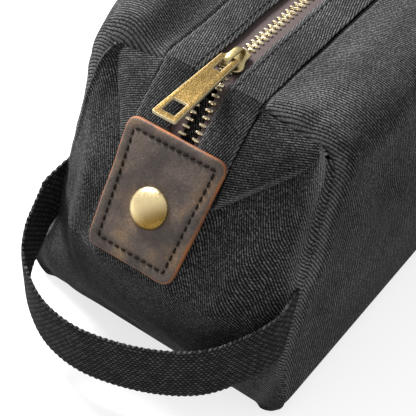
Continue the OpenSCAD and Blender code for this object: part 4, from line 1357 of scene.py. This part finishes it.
class KITBAG_OT_rivets(bpy.types.Operator):
    """Builds the domed rivets and their backs"""
    bl_idname = "kit_bag.rivets"
    bl_label = "Rivets"

    def lathe(self, name, way, profile, mat, turns=72):
        """A round piece on the patch's slope, with a painted highlight on its upper side and rubbed bright round its
        rim.
        """
        a = np.linspace(0, 2 * math.pi, turns, endpoint=False)
        p = np.array([slope_point(way, RIVET_DOWN + r * np.cos(a), r * np.sin(a), h + 0 * a) for r, h in profile])
        # Painted highlight: the dome's upper side takes the bright brass colour, as light falling there would make it
        # look.
        upper = lambda r: ease(-0.35, 0.5, 0.25 - r / RIVET_D * 1.7 * np.cos(a + 0.75))
        rim = lambda r: 0.35 * ease(0.94, 1.0, 2 * r / RIVET_D)
        wear_and_highlight = np.array([upper(r) + rim(r) for r, _ in profile]).clip(0, 1).ravel()
        return build_mesh(name, p.reshape(-1, 3), tube_faces(len(profile), turns), None, wear_and_highlight, None, mat, 50)

    def execute(self, context):
        c = context.scene.kit_bag_look.brass_colour
        # The last colour is the painted highlight on the dome's upper side and the rubbed rim.
        mat = metal_material("Rivet Brass", shade(c, 0.42, 0.34, 0.18), shade(c, 0.2, 0.15, 0.06), 0.3, 1100.0, 0.4,
                             0.45, (0.66, 0.53, 0.29))
        low = GAP + 1.75
        r = RIVET_D / 2
        for end, way in ENDS.items():
            dome = [(2.0, -5.0), (2.0, low), (r * 0.8, low), (r * 0.97, low + 0.05), (r, low + 0.35),
                    (r * 0.99, low + 0.6)]
            dome += [(r * 0.99 * math.cos(t), low + 0.6 + (RIVET_H - 0.2) * math.sin(t))
                     for t in np.linspace(0.06, 1.5, 20)]
            cap = self.lathe(end + "_rivet", way, dome, mat)
            settle(cap, "bag", [end + "_rivet_cap"])
            back = [(2.1, -4.3), (4.9, -4.3), (5.5, -4.5), (5.5, -5.0), (5.0, -5.2), (2.1, -5.2)]
            disc = self.lathe(end + "_rivet_back_plate", way, back[::-1], mat, 40)
            settle(disc, "bag", [end + "_rivet_back"])
        return {"FINISHED"}


class KITBAG_OT_handle(bpy.types.Operator):
    """Builds the webbing loop that is sewn into the near end's seams"""
    bl_idname = "kit_bag.handle"
    bl_label = "Handle"

    def route(self, t):
        """The middle of the webbing, from the right seam round to the left one."""
        front = -HALF_L - HANDLE_REACH
        p = np.array([seam_point(HANDLE_Z, -1), (-127, -57.5, 47), (-136, -51, 40), (-145, -39, 31), (-152, -22, 25),
                      (front + 1, -3, HANDLE_LOW + 1), (front - 1, 12, HANDLE_LOW + 1),
                      (front + 1, 27, HANDLE_LOW + 3), (-150, 40, 29), (-141.5, 46, 34.5), (-133, 48, 40),
                      (-125.5, 49, 45), seam_point(HANDLE_Z, 1)])
        n = len(p) - 1
        out = []
        for v in t:
            i = min(int(v * n), n - 1)
            f = v * n - i
            a, b, c, d = p[max(i - 1, 0)], p[i], p[i + 1], p[min(i + 2, n)]
            bend = (2 * a - 5 * b + 4 * c - d) * f * f + (3 * b - a - 3 * c + d) * f ** 3
            out.append(0.5 * (2 * b + (c - a) * f + bend))
        return np.array(out)

    def clear_of_end(self, line):
        """Moves the line out to where it lies on the near end's cloth instead of in it."""
        k = 1 + clamp01((line[:, 2] - BASE_R) / (TOP_Z - BASE_R))
        cloth = slump(end_face(np.clip(line[:, 1] / outline(k)[0], -0.999, 0.999), k / 2.5, -1)[0])
        line[:, 0] = np.minimum(line[:, 0], cloth[:, 0] - WEB_T)
        return line

    def execute(self, context):
        look = context.scene.kit_bag_look
        mat = webbing_material(look)
        t = np.linspace(0, 1, 260)
        line = relax(self.clear_of_end(self.route(t)), 12)
        up = np.repeat([[0.0, 0.0, 1.0]], len(t), 0)
        for side, start, full in ((-1, 0.1, 0.0), (1, 0.9, 1.0)):
            # Each end runs into its seam and lies along it.
            near = ease(start, full, t)[:, None]
            sewn = seam_point(HANDLE_Z, side) + np.array([1.2, -side * 0.8, 0])
            line = line + (sewn - line[0 if side < 0 else -1]) * near
            along = unit_rows(seam_point(HANDLE_Z + WEB_W / 2, side) - seam_point(HANDLE_Z - WEB_W / 2, side))
            up = mix(up, along, near)
        base = flat_section(WEB_W / 2, WEB_T, 0.5, 34)
        base[:, 1] += WEB_T / 2
        knob = 1 + 0.03 * np.sin(length_along(line) * 2 * math.pi / 2.4)
        shape = np.stack([base * np.array([kn, 1]) for kn in knob])
        wear_and_highlight = lambda sec: clamp01((np.abs(sec[..., 0]) - WEB_W / 2 + 1.6) / 1.6)
        obj = sweep("handle", line, up, shape, mat, wear_and_highlight=wear_and_highlight)
        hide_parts("handle_webbing", "handle_sewn_ends")
        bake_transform(obj)
        return {"FINISHED"}


class KITBAG_OT_lining(bpy.types.Operator):
    """Builds the lining, the inner pocket and the bound corners"""
    bl_idname = "kit_bag.lining"
    bl_label = "Lining"

    def execute(self, context):
        look = context.scene.kit_bag_look
        mat = plain_weave_material("Lining Cotton", look.lining_colour, 0.05, 0.8)
        band = plain_weave_material("Binding Tape", look.tape_colour, 0.1, 1.0)
        half_x, half_y = HALF_L - 2 * INSIDE_D, HALF_W - BASE_R - 2

        def base(a, b):
            x, y = np.broadcast_arrays(-half_x + 2 * half_x * a, -half_y + 2 * half_y * b)
            return np.stack([x, y, LINING_D + LINING_T + 0.2 + 0 * x], -1), np.stack([x, y], -1)

        settle(slab("lining_floor", base, spread(30, 0), spread(16, 0), LINING_T, mat, smooth_normals=False), "bag",
               ["lining_base"])
        for name, side in SIDES.items():
            wall = lambda a, b, side=side: wrap(a, b, side, LINING_D, 0.75)
            obj = slab("lining_wall_" + name, wall, np.linspace(0.12, 2.3, 50), np.linspace(0.03, 0.97, 60), LINING_T,
                       mat)
            settle(obj, "bag", ["lining_" + name])
            for end, s0 in (("near", 0.02), ("far", 0.5)):
                obj = slab(f"lining_lid_{name}_{end}", wall, np.linspace(2.62, 3.95, 24), s0 + 0.48 * spread(40, 0),
                           LINING_T, mat)
                settle_flap(obj, ["lining_top_" + name])
        for end, way in ENDS.items():
            wall = lambda a, b, way=way: end_face(b, a, way, INSIDE_D + 0.9)
            obj = slab("lining_wall_" + end, wall, np.linspace(0.06, 0.76, 40), np.linspace(-0.9, 0.9, 60), LINING_T,
                       mat)
            settle(obj, "bag", ["lining_" + end])
            for side in (-1, 1):
                strip = lambda a, b, way=way: end_face(b, a, way, INSIDE_D + 3.4)
                obj = slab(f"{end}_binding_{'left' if side > 0 else 'right'}", strip, np.linspace(0.1, 0.76, 30),
                           side * np.linspace(0.74, 0.88, 8), LINING_T, band)
                settle(obj, "bag", [end + "_corner_bindings"])
        low, high = 18.0, BASE_R + POCKET_H
        rise = lambda z: 1 + (z - BASE_R) / (TOP_Z - BASE_R)

        def pocket(a, b, d):
            a, b = np.broadcast_arrays(np.asarray(a, float), np.asarray(b, float))
            p = wrap(a, clamp01(0.5 + b * 0.5), 1, d, 0.75)[0]
            p[..., 0] = b * POCKET_L / 2
            return p, np.stack([b * POCKET_L / 2, arc_along(a)], -1)

        obj = slab("pocket", lambda a, b: pocket(a, b, INSIDE_D + 0.8), np.linspace(rise(low), rise(high), 20),
                   np.linspace(-1, 1, 40), LINING_T, mat)
        settle(obj, "bag", ["inner_pocket"])
        obj = slab("pocket_edge", lambda a, b: pocket(a, b, INSIDE_D + 1.8),
                   np.linspace(rise(high - 6), rise(high), 8), np.linspace(-1, 1, 40), LINING_T, band)
        settle(obj, "bag", ["pocket_binding"])
        return {"FINISHED"}


class KITBAG_PT_panel(bpy.types.Panel):
    """Lists the bag's pieces"""
    bl_idname = "KITBAG_PT_panel"
    bl_label = "Kit Bag"
    bl_space_type = "VIEW_3D"
    bl_region_type = "UI"
    bl_category = "Kit Bag"

    def draw(self, context):
        for group in (context.scene.kit_bag_look, context.scene.kit_bag_stage):
            box = self.layout.box()
            for key in group.__annotations__:
                box.prop(group, key)
        for op in STEPS:
            self.layout.operator(op.bl_idname)


STEPS = (KITBAG_OT_stage, KITBAG_OT_sides, KITBAG_OT_ends, KITBAG_OT_top, KITBAG_OT_facings, KITBAG_OT_tapes,
         KITBAG_OT_teeth, KITBAG_OT_slider, KITBAG_OT_pull_tab, KITBAG_OT_patches, KITBAG_OT_rivets, KITBAG_OT_handle,
         KITBAG_OT_lining)
CLASSES = (KitBagLook, KitBagStage) + STEPS + (KITBAG_PT_panel,)


def register():
    for c in CLASSES:
        bpy.utils.register_class(c)
    bpy.types.Scene.kit_bag_look = bpy.props.PointerProperty(type=KitBagLook)
    bpy.types.Scene.kit_bag_stage = bpy.props.PointerProperty(type=KitBagStage)


def unregister():
    del bpy.types.Scene.kit_bag_look
    del bpy.types.Scene.kit_bag_stage
    for c in reversed(CLASSES):
        bpy.utils.unregister_class(c)


def main():
    register()
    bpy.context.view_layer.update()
    for step in STEPS:
        group, name = step.bl_idname.split(".")
        getattr(getattr(bpy.ops, group), name)()
    bpy.context.view_layer.update()


if __name__ == "__main__":
    main()
